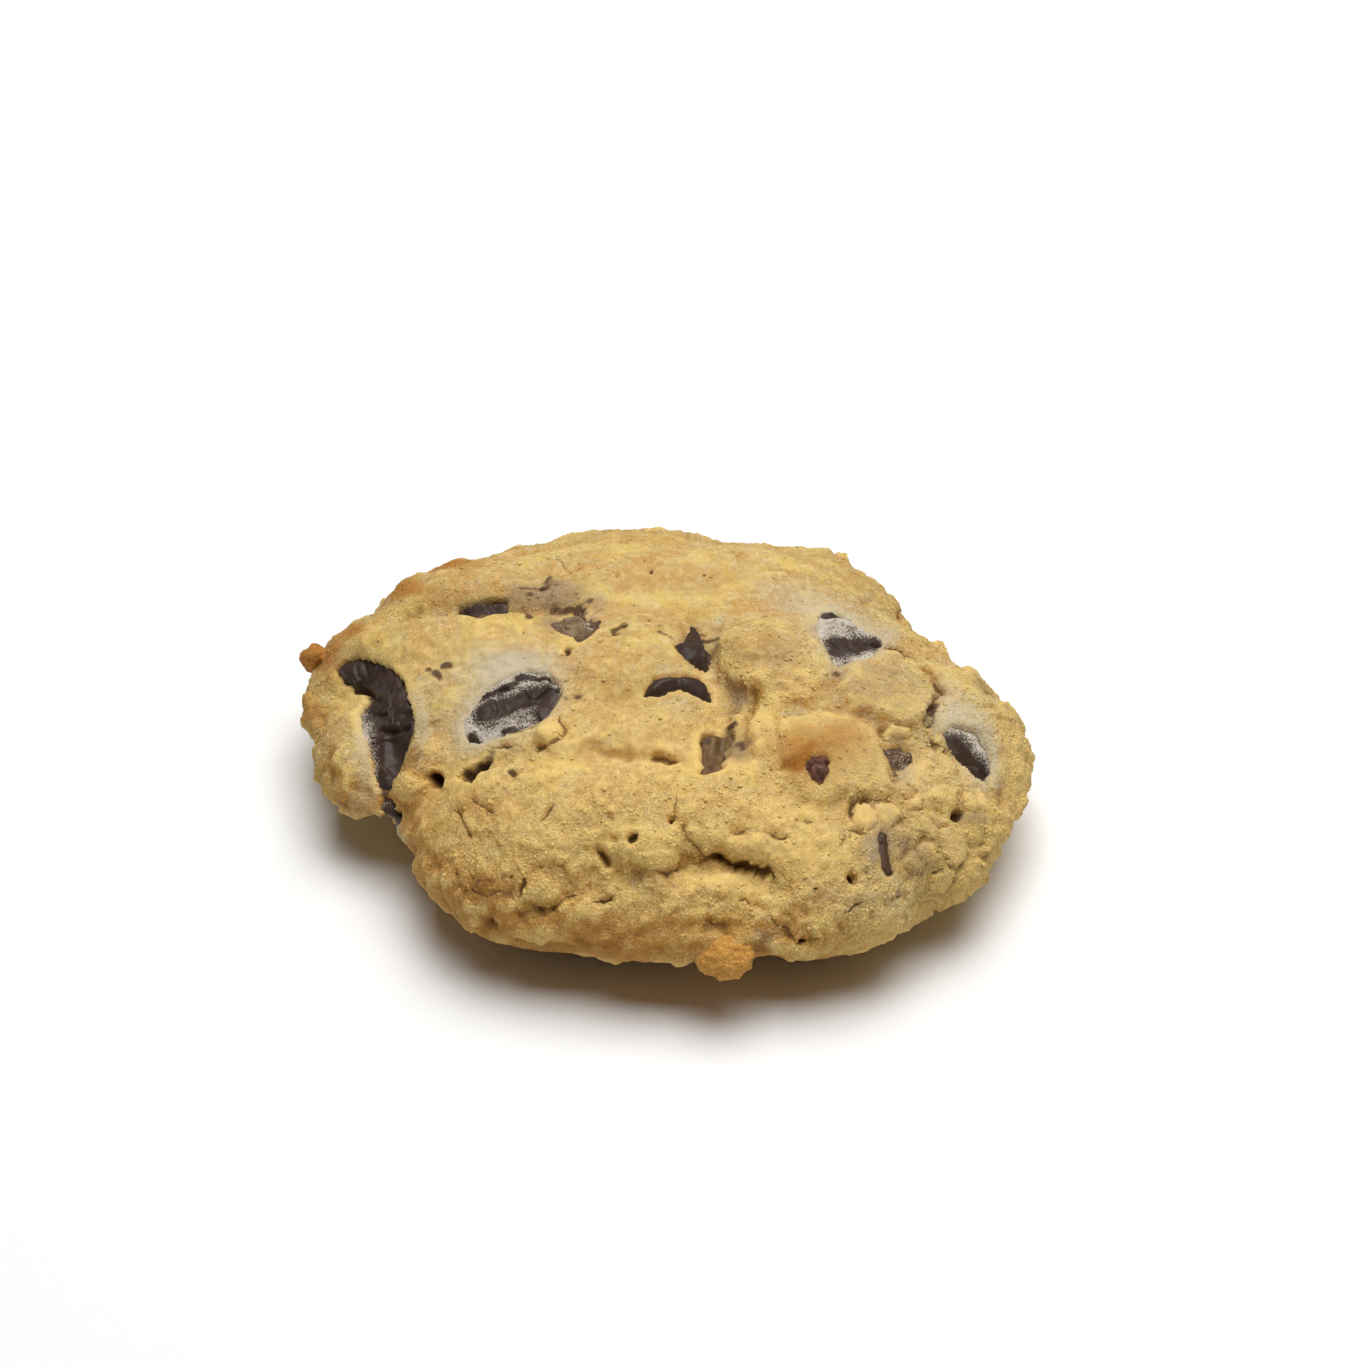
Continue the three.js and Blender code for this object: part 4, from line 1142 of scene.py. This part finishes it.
# A crack is a groove in the dough, and its material paints the shade in its open line as a dark line: how far
# off the line lies in half widths, and how strongly it shows
crack, crack_shows = np.full(len(form), FAR_OFF), np.zeros(len(form))
# crease gathers the painted shade in the grooves round flakes, in folds, cracks and torn holes
crease = FLAKE_CREASE * flake_line
wiggle = 1 + WIGGLE * noise_field(form, WIGGLE_SPACING)
for half_wide, deep, pixels in FOLDS.values():
    offset = line_distance(ragged, on_dough(pixels))
    groove = np.exp(-((offset / (FOLD_WIDE * half_wide * wiggle)) ** 2))
    height -= FOLD_GROOVE * deep * groove
    crease += FOLD_CREASE * min(1, deep) * groove
for half_wide, deep, pixels in CRACKS.values():
    offset = line_offset(ragged, form_normal, on_dough(pixels))
    groove_wide = np.maximum(GROOVE_LEAST, CRACK_WIDE * half_wide * wiggle)
    groove = np.exp(-((offset / groove_wide) ** 2))
    height -= CRACK_GROOVE * deep * groove
    crease += CRACK_CREASE * min(1, deep) * groove
    shows = (WIDE_SHOWS if half_wide > WIDE_CRACK else 1) * min(1, 0.2 + 0.6 * deep)
    shows = shows * smooth_step(-np.abs(offset), -CRACK_REACH, -CRACK_FULL)
    nearer = shows > crack_shows
    crack = np.where(nearer, offset / (CRACK_OPEN * half_wide), crack)
    crack_shows = np.maximum(crack_shows, shows)
torn = wandered(form, TORN_EDGE)
for deep, pixels in TORN.values():
    opened = smooth_step(depth_inside(torn, on_dough(pixels)), -TORN_SOFT, TORN_SOFT)
    height -= deep * opened
    crease += TORN_CREASE * opened
pit = np.full(len(form), FAR_OFF)
for u, v, half_wide, half_high, deep in PITS.values():
    out = oval_share(ragged, u, v, half_wide, half_high)
    height -= deep * np.exp(-(out ** 3))
    pit = np.minimum(pit, out)
for u, v in PORES:
    out = oval_share(ragged, u, v, PORE_HALF, PORE_HALF)
    height -= PORE_DEPTH * np.exp(-(out ** 2))
    pit = np.minimum(pit, out)
under_rim = UNDERSIDE_ROUGHNESS + (1 - UNDERSIDE_ROUGHNESS) * smooth_step(share, 0.8, 0.97)
height *= np.where(on_top, 1, under_rim * clear_of_foot)

cocoa = np.zeros(len(form))
edge_dust = np.zeros(len(form))
for name, (near, inside, relief) in pockets.items():
    soft, lip, dusting = SETTING[name][2:]
    within = smooth_step(inside, -soft, soft)
    stands = lip * np.exp(-((inside + LIP_WIDE) / LIP_WIDE) ** 2)
    calm = 1 - POCKET_CALM * smooth_step(inside, -2.2, -0.2)
    height[near] = (height[near] * calm + stands) * (1 - within) + (relief - POCKET_GAP) * within
    cocoa[near] = np.maximum(cocoa[near], within)
    edge_dust[near] += EDGE_DUST * dusting * np.exp(-np.maximum(0, -inside) / DUST_FADE_OUT)

surface = form + form_normal * height[:, None]


def hollowness(values, reach_cells):
    """How far each point of the net lies below the mean of its neighbours."""
    net = values.reshape(side, side)
    mean = net
    for axis in (0, 1):
        margin = [(reach_cells, reach_cells) if k == axis else (0, 0) for k in (0, 1)]
        padded = np.pad(mean, margin, mode="edge")
        running = np.cumsum(np.insert(padded, 0, 0, axis=axis), axis=axis)
        span = 2 * reach_cells + 1
        late = np.take(running, range(span, running.shape[axis]), axis=axis)
        early = np.take(running, range(running.shape[axis] - span), axis=axis)
        mean = (late - early) / span
    return (mean - net).ravel()


hollow = hollowness(height, BROAD_REACH)
near_hollow = hollowness(height, SMALL_REACH)
sharp_hollow = hollowness(height, SHARP_REACH)
toast = stain(ragged, TOASTED) + np.where(on_top, 0, UNDER_TOAST * smooth_step(1 - share, 0, 0.3))
toast += LOW_TOAST * smooth_step(-form[:, 2], -15, -7) * smooth_step(-form[:, 1], 8, 24)
dust = DUST_SHARE * stain(ragged, DUSTED) + edge_dust
smear = stain(ragged, SMEARED)
for half_wide, strength, pixels in STREAKS.values():
    smear += strength * np.exp(-((line_distance(ragged, on_dough(pixels)) / half_wide) ** 2))
veil = stain(ragged, VEILED)
amber = stain(ragged, AMBER)
pale = stain(ragged, PALE) + FLAKE_PALE * flaked
# Painted light: the front and the steep right side are paled to make up for the light that reaches them less
# than the top
pale += FRONT_PAINTED_LIGHT * smooth_step(-form[:, 1], -2, 20) * smooth_step(form[:, 2], 10, 15)
steep = smooth_step(1 - form_normal[:, 2], 0.2, 0.7)
pale += SIDE_PAINTED_LIGHT * steep * smooth_step(form[:, 0], 10, 32) * smooth_step(-form[:, 1], -12, 8)
# Painted light on the crests of the relief
pale += CREST_PAINTED_LIGHT * (np.clip(-hollow - 0.03, 0, 0.4) + np.clip(-near_hollow - 0.02, 0, 0.3))
smoothness = stain(form, SMOOTH)
grainy = GRAIN_LEAST + GRAIN_STEEP * (1 - form_normal[:, 2]) + 0.2 * crumbly - smoothness - 0.2 * flaked
grainy = np.clip(grainy, 0.1, 1.2)
# Painted shade: a warm tone on the downward sides of lumps and on the steep front, where shade falls
downhill = net_normals(surface)[:, 2] - form_normal[:, 2]
shaded = SHADE_WARM * np.clip(-downhill - 0.05, 0, 0.6) * smooth_step(-form[:, 1], -6, 10)
shaded += FRONT_SHADE_WARM * smooth_step(1 - form_normal[:, 2], 0.12, 0.5) * smooth_step(-form[:, 1], 0, 14)
# Painted light that brightens the toasted knob
shaded += stain(ragged, KNOB_PAINTED_LIGHT)
# Painted shade in the hollows of the relief
sunken = HOLLOW_PAINTED_SHADE * (np.clip(hollow - 0.02, 0, 0.5) + np.clip(near_hollow - 0.02, 0, 0.4))
# More painted shade in broad and sharp hollows
crease += 0.3 * np.clip(hollow - 0.12, 0, 1) + 0.8 * np.clip(sharp_hollow - 0.05, 0, 0.3)
crease = np.clip(crease, 0, 1)

index = np.arange(side * side).reshape(side, side)
quads = np.stack([index[:-1, :-1], index[1:, :-1], index[1:, 1:], index[:-1, 1:]], -1).reshape(-1, 4)
border = np.concatenate([index[:-1, 0], index[-1, :-1], index[:0:-1, -1], index[0, :0:-1]])
border_radius = outline_radius(angle[border])
border_way = np.stack([np.cos(angle[border]), np.sin(angle[border])], 1)


def ring_under(ring_share):
    """The points of the plain underside under the net's border, at a share of the radius."""
    level = np.full(len(border), underside_height(np.array(ring_share)))
    return np.column_stack([(border_radius * ring_share)[:, None] * border_way, level])


rings = [border]
points = [surface]
count = len(surface)
edge_lift = surface[border] - ring_under(NET_END)
for ring_share in FOOT_RINGS:
    fade = smooth_step(np.array(ring_share), FOOT_SHARE, NET_END)
    points.append(ring_under(ring_share) + fade * edge_lift)
    rings.append(count + np.arange(len(border)))
    count += len(border)
points.append(np.zeros((1, 3)))
faces = quads.tolist()
for outer, inner in zip(rings, rings[1:]):
    faces += np.stack([np.roll(outer, -1), outer, inner, np.roll(inner, -1)], 1).tolist()
faces += [[int(b), int(a), count] for a, b in zip(rings[-1], np.roll(rings[-1], -1))]
underside = sum(len(p) for p in points) - len(surface)


def to_foot(values, at_foot):
    """Values on the net, carried on over the rings of the underside."""
    return np.concatenate([values, np.full(underside, at_foot)])


# What the dough's material reads, and what it is where it isn't 0 on plain dough and at the foot
dough_marks = {
    "toast": toast, "amber": amber, "veil": veil, "dust": dust, "smear": smear, "pale": pale,
    "shaded": shaded, "grainy": grainy, "sunken": sunken, "crease": crease, "cocoa": cocoa, "crack": crack,
    "crack_shows": crack_shows, "pit": pit}
PLAIN_DOUGH = {"grainy": 1, "crack": FAR_OFF, "pit": FAR_OFF}

# Baked banana dough: matte and grainy, yellow-tan, orange-brown where it toasted, grey where flour lies on it
# and brown where chocolate smeared, with painted shade in its hollows, creases and cracks and painted light
# on its front, right side and crests
dough_skin = bpy.data.materials.new("baked banana dough")
dough_skin.use_nodes = True
tree = dough_skin.node_tree
shader = tree.nodes["Principled BSDF"]
where = add_node(tree, "ShaderNodeTexCoord").outputs["Object"]
broad, pools, patches, grit, sugar, fine = (
    add_node(tree, "ShaderNodeTexNoise", None, {
        "Vector": where, "Scale": per_metre(spacing), "Detail": 3}).outputs[0]
    for spacing in (9, 5.0, 3.0, 0.85, 0.3, 0.14))
attribute = {
    key: add_node(tree, "ShaderNodeAttribute", {"attribute_name": key}).outputs["Fac"] for key in dough_marks}
tint = add_node(tree, "ShaderNodeMapRange", None, {
    "Value": broad, "From Min": 0.35, "From Max": 0.65}).outputs[0]
colour = add_node(tree, "ShaderNodeMix", {"data_type": "RGBA"}, {
    0: tint, 6: srgb("#c39f5a"), 7: srgb("#d0b074")}).outputs[2]
# Flecks of the mix: their noise, where they start and are full in it, how strong they are and their colour
FLECKS = {
    "yellow pools": (pools, 0.5, 0.6, 0.75, "#dfc06a"),
    "orange pools": (pools, 0.47, 0.38, 0.6, "#c99a52"),
    "grey pools": (broad, 0.45, 0.36, 0.35, "#bfa173"),
    "warm patches": (patches, 0.5, 0.64, 0.5, "#c89a51"),
    "pale patches": (patches, 0.46, 0.36, 0.4, "#e0c688"),
    "pale oats": (grit, 0.54, 0.7, 0.45, "#ead49a"),
    "brown bran": (grit, 0.44, 0.3, 0.25, "#9c7138"),
    # Sugar specks: pale in colour, and partly painted glints
    "sugar": (sugar, 0.6, 0.72, 0.55, "#f1e2ba"),
    "sugar crystals": (fine, 0.64, 0.74, 0.7, "#faeed4")}
layers = list(FLECKS.values())
# Each mark: its colour, how much its edge breaks up in patches, in crumbs and in specks, where it starts and
# is full. shaded and the marks of hollows and creases are painted shade, shaded is also painted light on the
# knob and nubs, pale is also painted light on the front, right side and crests, and smear is also painted
# shade in pits and cracks
MARKS = {
    "shaded": ("#d69c4a", 0.3, 0.3, 0.4, 0.05, 1.0),
    "sunken": ("#a8793a", 0.3, 0.3, 0.4, 0.05, 1.2),
    "pale": ("#edca7c", 0.4, 0.4, 0.5, 0.1, 1.2),
    "toast": ("#b67b35", 0.6, 0.6, 0.9, 0.15, 1.3),
    "amber": ("#a86c1e", 0.3, 0.4, 0.4, 0.15, 1.2),
    "veil": ("#a08360", 0.8, 0.7, 0.6, 0.15, 1.4),
    "dust": ("#c9bda1", 0.5, 0.3, 1.2, 0.1, 1.2),
    "smear": ("#54382a", 0.5, 0.9, 0.9, 0.3, 1.1),
    "crease": ("#6f4e25", 0.3, 0.2, 0.5, 0.2, 1.2),
    "cocoa": ("#35282a", 0, 0.2, 1.2, 0.35, 1.0)}
MARK_MOST = 0.9
for key, (code, by_patch, by_crumb, by_speck, start, full) in MARKS.items():
    level = attribute[key]
    for field, far in ((patches, by_patch), (grit, by_crumb), (sugar, by_speck)):
        level = add_node(tree, "ShaderNodeMath", {"operation": "MULTIPLY_ADD"}, {
            0: field, 1: far, 2: level}).outputs[0]
    middle = (by_patch + by_crumb + by_speck) / 2
    layers.append((level, start + middle, full + middle, MARK_MOST, code))
for field, start, full, most, code in layers:
    amount = add_node(tree, "ShaderNodeMapRange", {"interpolation_type": "SMOOTHSTEP"}, {
        "Value": field, "From Min": start, "From Max": full, "To Max": most}).outputs[0]
    colour = add_node(tree, "ShaderNodeMix", {"data_type": "RGBA"}, {
        0: amount, 6: colour, 7: srgb(code)}).outputs[2]
# Specks of sugar and bran in two sizes, which lighten or brown what lies under them, and with that paint the
# light and shade on crumbs too small to shape
SPECKS = [
    (sugar, (0.82, 0.775, 0.7, 1), (1.11, 1.15, 1.22, 1)),
    (fine, (0.72, 0.65, 0.55, 1), (1.2, 1.25, 1.34, 1))]
for field, brown_tint, pale_tint in SPECKS:
    speck_share = add_node(tree, "ShaderNodeMapRange", None, {
        "Value": field, "From Min": 0.3, "From Max": 0.7}).outputs[0]
    tint = add_node(tree, "ShaderNodeMix", {"data_type": "RGBA"}, {
        0: speck_share, 6: brown_tint, 7: pale_tint}).outputs[2]
    colour = add_node(tree, "ShaderNodeMix", {"data_type": "RGBA", "blend_type": "MULTIPLY"}, {
        0: attribute["grainy"], 6: colour, 7: tint}).outputs[2]
# Painted shade in the open line of a crack, the mouth of a pit, and hair cracks and pin holes between the
# crumbs
line_edge = add_node(tree, "ShaderNodeMath", {"operation": "ABSOLUTE"}, {0: attribute["crack"]}).outputs[0]
for field, far in ((sugar, 0.9), (grit, 2.2)):
    line_edge = add_node(tree, "ShaderNodeMath", {"operation": "MULTIPLY_ADD"}, {
        0: field, 1: far, 2: line_edge}).outputs[0]
warp = add_node(tree, "ShaderNodeTexNoise", None, {
    "Vector": where, "Scale": per_metre(1.1), "Detail": 2}).outputs["Color"]
warped = add_node(tree, "ShaderNodeVectorMath", {"operation": "MULTIPLY_ADD"}, {
    0: warp, 1: (1.2 * MM, 1.2 * MM, 1.2 * MM), 2: where}).outputs[0]
hair = add_node(tree, "ShaderNodeTexVoronoi", {"feature": "DISTANCE_TO_EDGE"}, {
    "Vector": warped, "Scale": per_metre(2.1)}).outputs["Distance"]
holes = add_node(tree, "ShaderNodeTexVoronoi", None, {"Vector": warped, "Scale": per_metre(1.7)})
hole_draw = add_node(tree, "ShaderNodeSeparateColor", None, {0: holes.outputs["Color"]}).outputs[0]
hole_size = add_node(tree, "ShaderNodeMapRange", None, {
    "Value": hole_draw, "From Min": 0.955, "From Max": 1.0, "To Max": 0.1}).outputs[0]
hole_depth = add_node(tree, "ShaderNodeMath", {"operation": "SUBTRACT"}, {
    0: hole_size, 1: holes.outputs["Distance"]}).outputs[0]
line_open, pit_open, hair_thin, hair_here, hole_open = (
    add_node(tree, "ShaderNodeMapRange", {"interpolation_type": "SMOOTHSTEP"}, {
        "Value": field, "From Min": start, "From Max": full, "To Max": most}).outputs[0]
    for field, start, full, most in (
        (line_edge, 2.9, 1.9, 1.0), (attribute["pit"], 1.05, 0.6, 0.9), (hair, 0.06, 0.01, 0.12),
        (patches, 0.46, 0.36, 1.0), (hole_depth, 0.0, 0.06, 0.85)))
crack_open, hair_open = (
    add_node(tree, "ShaderNodeMath", {"operation": "MULTIPLY"}, {0: line, 1: where_open}).outputs[0]
    for line, where_open in ((line_open, attribute["crack_shows"]), (hair_thin, hair_here)))
for amount, code in (
        (hair_open, "#8a6430"), (hole_open, "#6d4a21"), (pit_open, "#46301a"), (crack_open, "#6e4e26")):
    colour = add_node(tree, "ShaderNodeMix", {"data_type": "RGBA"}, {
        0: amount, 6: colour, 7: srgb(code)}).outputs[2]
# The same crumbs, lines and holes as relief
crumb_height = patches
for field, strength in (
        (grit, 0.9), (sugar, 0.7), (fine, 0.4), (hair_open, -0.9), (hole_open, -0.7), (crack_open, -0.8)):
    crumb_height = add_node(tree, "ShaderNodeMath", {"operation": "MULTIPLY_ADD"}, {
        0: field, 1: strength, 2: crumb_height}).outputs[0]
bump = add_node(tree, "ShaderNodeBump", None, {
    "Strength": attribute["grainy"], "Distance": 0.36 * MM, "Height": crumb_height}).outputs[0]
tree.links.new(colour, shader.inputs["Base Color"])
tree.links.new(bump, shader.inputs["Normal"])
shader.inputs["Subsurface Weight"].default_value = 0.2
shader.inputs["Subsurface Radius"].default_value = (1.6, 0.9, 0.4)
shader.inputs["Subsurface Scale"].default_value = 0.4 * MM
shader.inputs["Roughness"].default_value = 0.82
shader.inputs["IOR"].default_value = 1.4
shader.inputs["Specular IOR Level"].default_value = 0.3

at_foot = {**PLAIN_DOUGH, "toast": FOOT_TOAST}
crust = make_piece("cookie_dough", np.vstack(points), faces, dough_skin, {
    key: to_foot(values, at_foot.get(key, 0)) for key, values in dough_marks.items()})
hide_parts("dough")

# Crumbs on the crust
# Grains of sugar and crumb that stick up all over the crust, thickest where it is cobbled. They are baked
# into the dough, take its colours, and lie flat on it.
# Grains to a square metre where they lie thickest, their radii, their height against that, and their dents
CRUMBS = {
    "Count": 1400000.0, "Smallest": 0.12 * MM, "Largest": 0.26 * MM, "Flatness": 0.3, "Uneven": 0.25 * MM,
    "Seed": 4}
CRUMBS_LEAST = 0.25                        # how much of that count lies on the plain dough
CRUMBS_CLEAR = 0.6, 2.0                    # how far from a chunk they start and lie in full number
SKIN_CLEAR = 2.5                           # how fast they thin out on smooth skin
scatter = bpy.data.node_groups.new("lumps on the crust", "GeometryNodeTree")
scatter.interface.new_socket("Crust", in_out="INPUT", socket_type="NodeSocketGeometry")
scatter_inputs = {
    label: scatter.interface.new_socket(label, in_out="INPUT", socket_type=kind).identifier
    for label, kind in (
        ("Crowding", "NodeSocketString"), ("Count", "NodeSocketFloat"), ("Smallest", "NodeSocketFloat"),
        ("Largest", "NodeSocketFloat"), ("Flatness", "NodeSocketFloat"), ("Uneven", "NodeSocketFloat"),
        ("Seed", "NodeSocketInt"))}
scatter.interface.new_socket("Lumps", in_out="OUTPUT", socket_type="NodeSocketGeometry")
given = add_node(scatter, "NodeGroupInput").outputs
crowding = add_node(scatter, "GeometryNodeInputNamedAttribute", {"data_type": "FLOAT"}, {
    "Name": given["Crowding"]})
density = add_node(scatter, "ShaderNodeMath", {"operation": "MULTIPLY"}, {
    0: crowding.outputs["Attribute"], 1: given["Count"]}).outputs[0]
spread = add_node(scatter, "GeometryNodeDistributePointsOnFaces", None, {
    "Mesh": given["Crust"], "Density": density, "Seed": given["Seed"]})
spin = add_node(scatter, "FunctionNodeRandomValue", {"data_type": "FLOAT_VECTOR"}, {
    "Min": (-0.2, -0.2, 0), "Max": (0.2, 0.2, 6.28), "Seed": given["Seed"]}).outputs[0]
turned = add_node(scatter, "FunctionNodeRotateRotation", {"rotation_space": "LOCAL"}, {
    "Rotation": spread.outputs["Rotation"],
    "Rotate By": add_node(scatter, "FunctionNodeEulerToRotation", None, {0: spin}).outputs[0]}).outputs[0]
size, length, paleness = (
    add_node(scatter, "FunctionNodeRandomValue", {"data_type": "FLOAT"}, {
        2: least, 3: most, "Seed": given["Seed"]}).outputs[1]
    for least, most in ((given["Smallest"], given["Largest"]), (0.7, 1.3), (-0.3, 0.4)))
shape = add_node(scatter, "ShaderNodeCombineXYZ", None, {
    0: length, 1: 1.0, 2: given["Flatness"]}).outputs[0]
scale = add_node(scatter, "ShaderNodeVectorMath", {"operation": "SCALE"}, {
    0: shape, "Scale": size}).outputs[0]
ball = add_node(scatter, "GeometryNodeMeshIcoSphere", None, {
    "Radius": 1.0, "Subdivisions": 1}).outputs["Mesh"]
placed = add_node(scatter, "GeometryNodeInstanceOnPoints", None, {
    "Points": spread.outputs["Points"], "Instance": ball, "Rotation": turned, "Scale": scale}).outputs[0]
own_pale = add_node(scatter, "GeometryNodeInputNamedAttribute", {"data_type": "FLOAT"}, {"Name": "pale"})
paler = add_node(scatter, "ShaderNodeMath", {"operation": "ADD"}, {
    0: own_pale.outputs["Attribute"], 1: paleness}).outputs[0]
tinted = placed
for key, value in (("pale", paler), ("grainy", 0.05)):
    tinted = add_node(
        scatter, "GeometryNodeStoreNamedAttribute", {"data_type": "FLOAT", "domain": "INSTANCE"}, {
            "Geometry": tinted, "Name": key, "Value": value}).outputs[0]
real = add_node(scatter, "GeometryNodeRealizeInstances", None, {"Geometry": tinted}).outputs[0]
place = add_node(scatter, "GeometryNodeInputPosition").outputs[0]
dents = add_node(scatter, "ShaderNodeTexNoise", None, {
    "Vector": place, "Scale": per_metre(0.9)}).outputs["Color"]
centred = add_node(scatter, "ShaderNodeVectorMath", {"operation": "SUBTRACT"}, {
    0: dents, 1: (0.5, 0.5, 0.5)}).outputs[0]
shift = add_node(scatter, "ShaderNodeVectorMath", {"operation": "SCALE"}, {
    0: centred, "Scale": given["Uneven"]}).outputs[0]
dented = add_node(scatter, "GeometryNodeSetPosition", None, {"Geometry": real, "Offset": shift}).outputs[0]
smooth = add_node(scatter, "GeometryNodeSetShadeSmooth", None, {"Geometry": dented}).outputs[0]
coloured = add_node(scatter, "GeometryNodeSetMaterial", None, {
    "Geometry": smooth, "Material": dough_skin}).outputs[0]
add_node(scatter, "NodeGroupOutput", None, {"Lumps": coloured})

clear = np.ones(len(form))
for near, inside, relief in pockets.values():
    clear[near] *= smooth_step(-inside, *CRUMBS_CLEAR)
bare_dough = clear * smooth_step(form_normal[:, 2], 0.1, 0.35)
unskinned = np.clip(1 - SKIN_CLEAR * smoothness - flaked, 0, 1)
crowd = (CRUMBS_LEAST + (1 - CRUMBS_LEAST) * crumbly) * bare_dough * unskinned
crowd_here = crust.data.attributes.new("crumbs", "FLOAT", "POINT")
crowd_here.data.foreach_set("value", to_foot(crowd, 0).astype(np.float32))
crumbs = bpy.data.objects.new("dough_crumbs", crust.data.copy())
bpy.context.scene.collection.objects.link(crumbs)
modifier = crumbs.modifiers.new("scatter", "NODES")
modifier.node_group = scatter
modifier[scatter_inputs["Crowding"]] = "crumbs"
for label, value in CRUMBS.items():
    modifier[scatter_inputs[label]] = value
crumb_mesh = bpy.data.meshes.new_from_object(crumbs.evaluated_get(bpy.context.evaluated_depsgraph_get()))
crumbs.modifiers.remove(modifier)
crumbs.data = crumb_mesh
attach(crumbs, "root")

# Nubs of dough
# Two drops of dough that hung from the rim and toasted orange, brightened with painted light against the
# shade under the rim. They baked fast to the lump.
# Middle, half sizes and how far it toasted
NUBS = {
    "front nub": ((6.8, -39.0, 8.4), (3.3, 2.5, 1.9), 0.35),
    "left nub": ((-40.8, 13.8, 11.2), (1.6, 1.6, 1.6), 1.0)}
# Spacing and height of their bumps
NUB_BUMPS = [(2.2, 0.5), (0.9, 0.22), (0.5, 0.1)]
NUB_FINENESS = 5
NUB_PAINTED_LIGHT = 1.0                             # how far painted light brightens them to a bright orange
nub_ball = bmesh.new()
bmesh.ops.create_icosphere(nub_ball, subdivisions=NUB_FINENESS, radius=1)
ball_points = np.array([vert.co for vert in nub_ball.verts])
ball_faces = np.array([[vert.index for vert in face.verts] for face in nub_ball.faces])
nub_ball.free()
nub_points, nub_faces, nub_toast = [], [], []
for middle, half, toasted in NUBS.values():
    ball = np.array(middle) + ball_points * half
    bumps = sum(high * noise_field(ball, spacing, 2) for spacing, high in NUB_BUMPS)
    nub_toast.append(np.full(len(ball_points), toasted))
    nub_faces.append(ball_faces + len(ball_points) * len(nub_points))
    nub_points.append(ball + ball_points * bumps[:, None])
nub_points = np.vstack(nub_points)
nub_marks = {key: np.full(len(nub_points), PLAIN_DOUGH.get(key, 0)) for key in dough_marks}
nub_marks["toast"] = np.concatenate(nub_toast)
nub_marks["shaded"] = np.full(len(nub_points), NUB_PAINTED_LIGHT)
make_piece(
    "dough_nubs", nub_points, np.vstack(nub_faces).tolist(), dough_skin, nub_marks)

# Floor and light
# A white sweep under one large soft light overhead, a little behind the cookie and to its right, and a dim
# white room. Lengths here are metres.
FLOOR_SIDE = 6.0
LIGHT_WIDE, LIGHT_LONG, LIGHT_HEIGHT, LIGHT_POWER = 0.95, 1.2, 1.1, 17.3
LIGHT_RIGHT, LIGHT_BACK = 0.12, 0.14
ROOM_LIGHT = 0.06
sweep = bpy.data.materials.new("white paper sweep")
sweep.use_nodes = True
shader = sweep.node_tree.nodes["Principled BSDF"]
shader.inputs["Base Color"].default_value = srgb("#f6f6f5")
shader.inputs["Roughness"].default_value = 0.9
floor_mesh = bpy.data.meshes.new("floor")
half = FLOOR_SIDE / 2
floor_corners = [(-half, -half, 0), (half, -half, 0), (half, half, 0), (-half, half, 0)]
floor_mesh.from_pydata(floor_corners, [], [(0, 1, 2, 3)])
floor_mesh.materials.append(sweep)
floor = bpy.data.objects.new("floor", floor_mesh)
bpy.context.scene.collection.objects.link(floor)

softbox = bpy.data.lights.new("overhead softbox", "AREA")
softbox.shape = "RECTANGLE"
softbox.size = LIGHT_WIDE
softbox.size_y = LIGHT_LONG
softbox.energy = LIGHT_POWER
softbox_object = bpy.data.objects.new("overhead softbox", softbox)
softbox_object.location = (LIGHT_RIGHT, LIGHT_BACK, LIGHT_HEIGHT)
bpy.context.scene.collection.objects.link(softbox_object)
room = bpy.data.worlds.new("dim white room")
room.use_nodes = True
room.node_tree.nodes["Background"].inputs["Strength"].default_value = ROOM_LIGHT
room.node_tree.nodes["Background"].inputs["Color"].default_value = (1, 1, 1, 1)
bpy.context.scene.world = room
bpy.context.scene.view_settings.view_transform = "Standard"
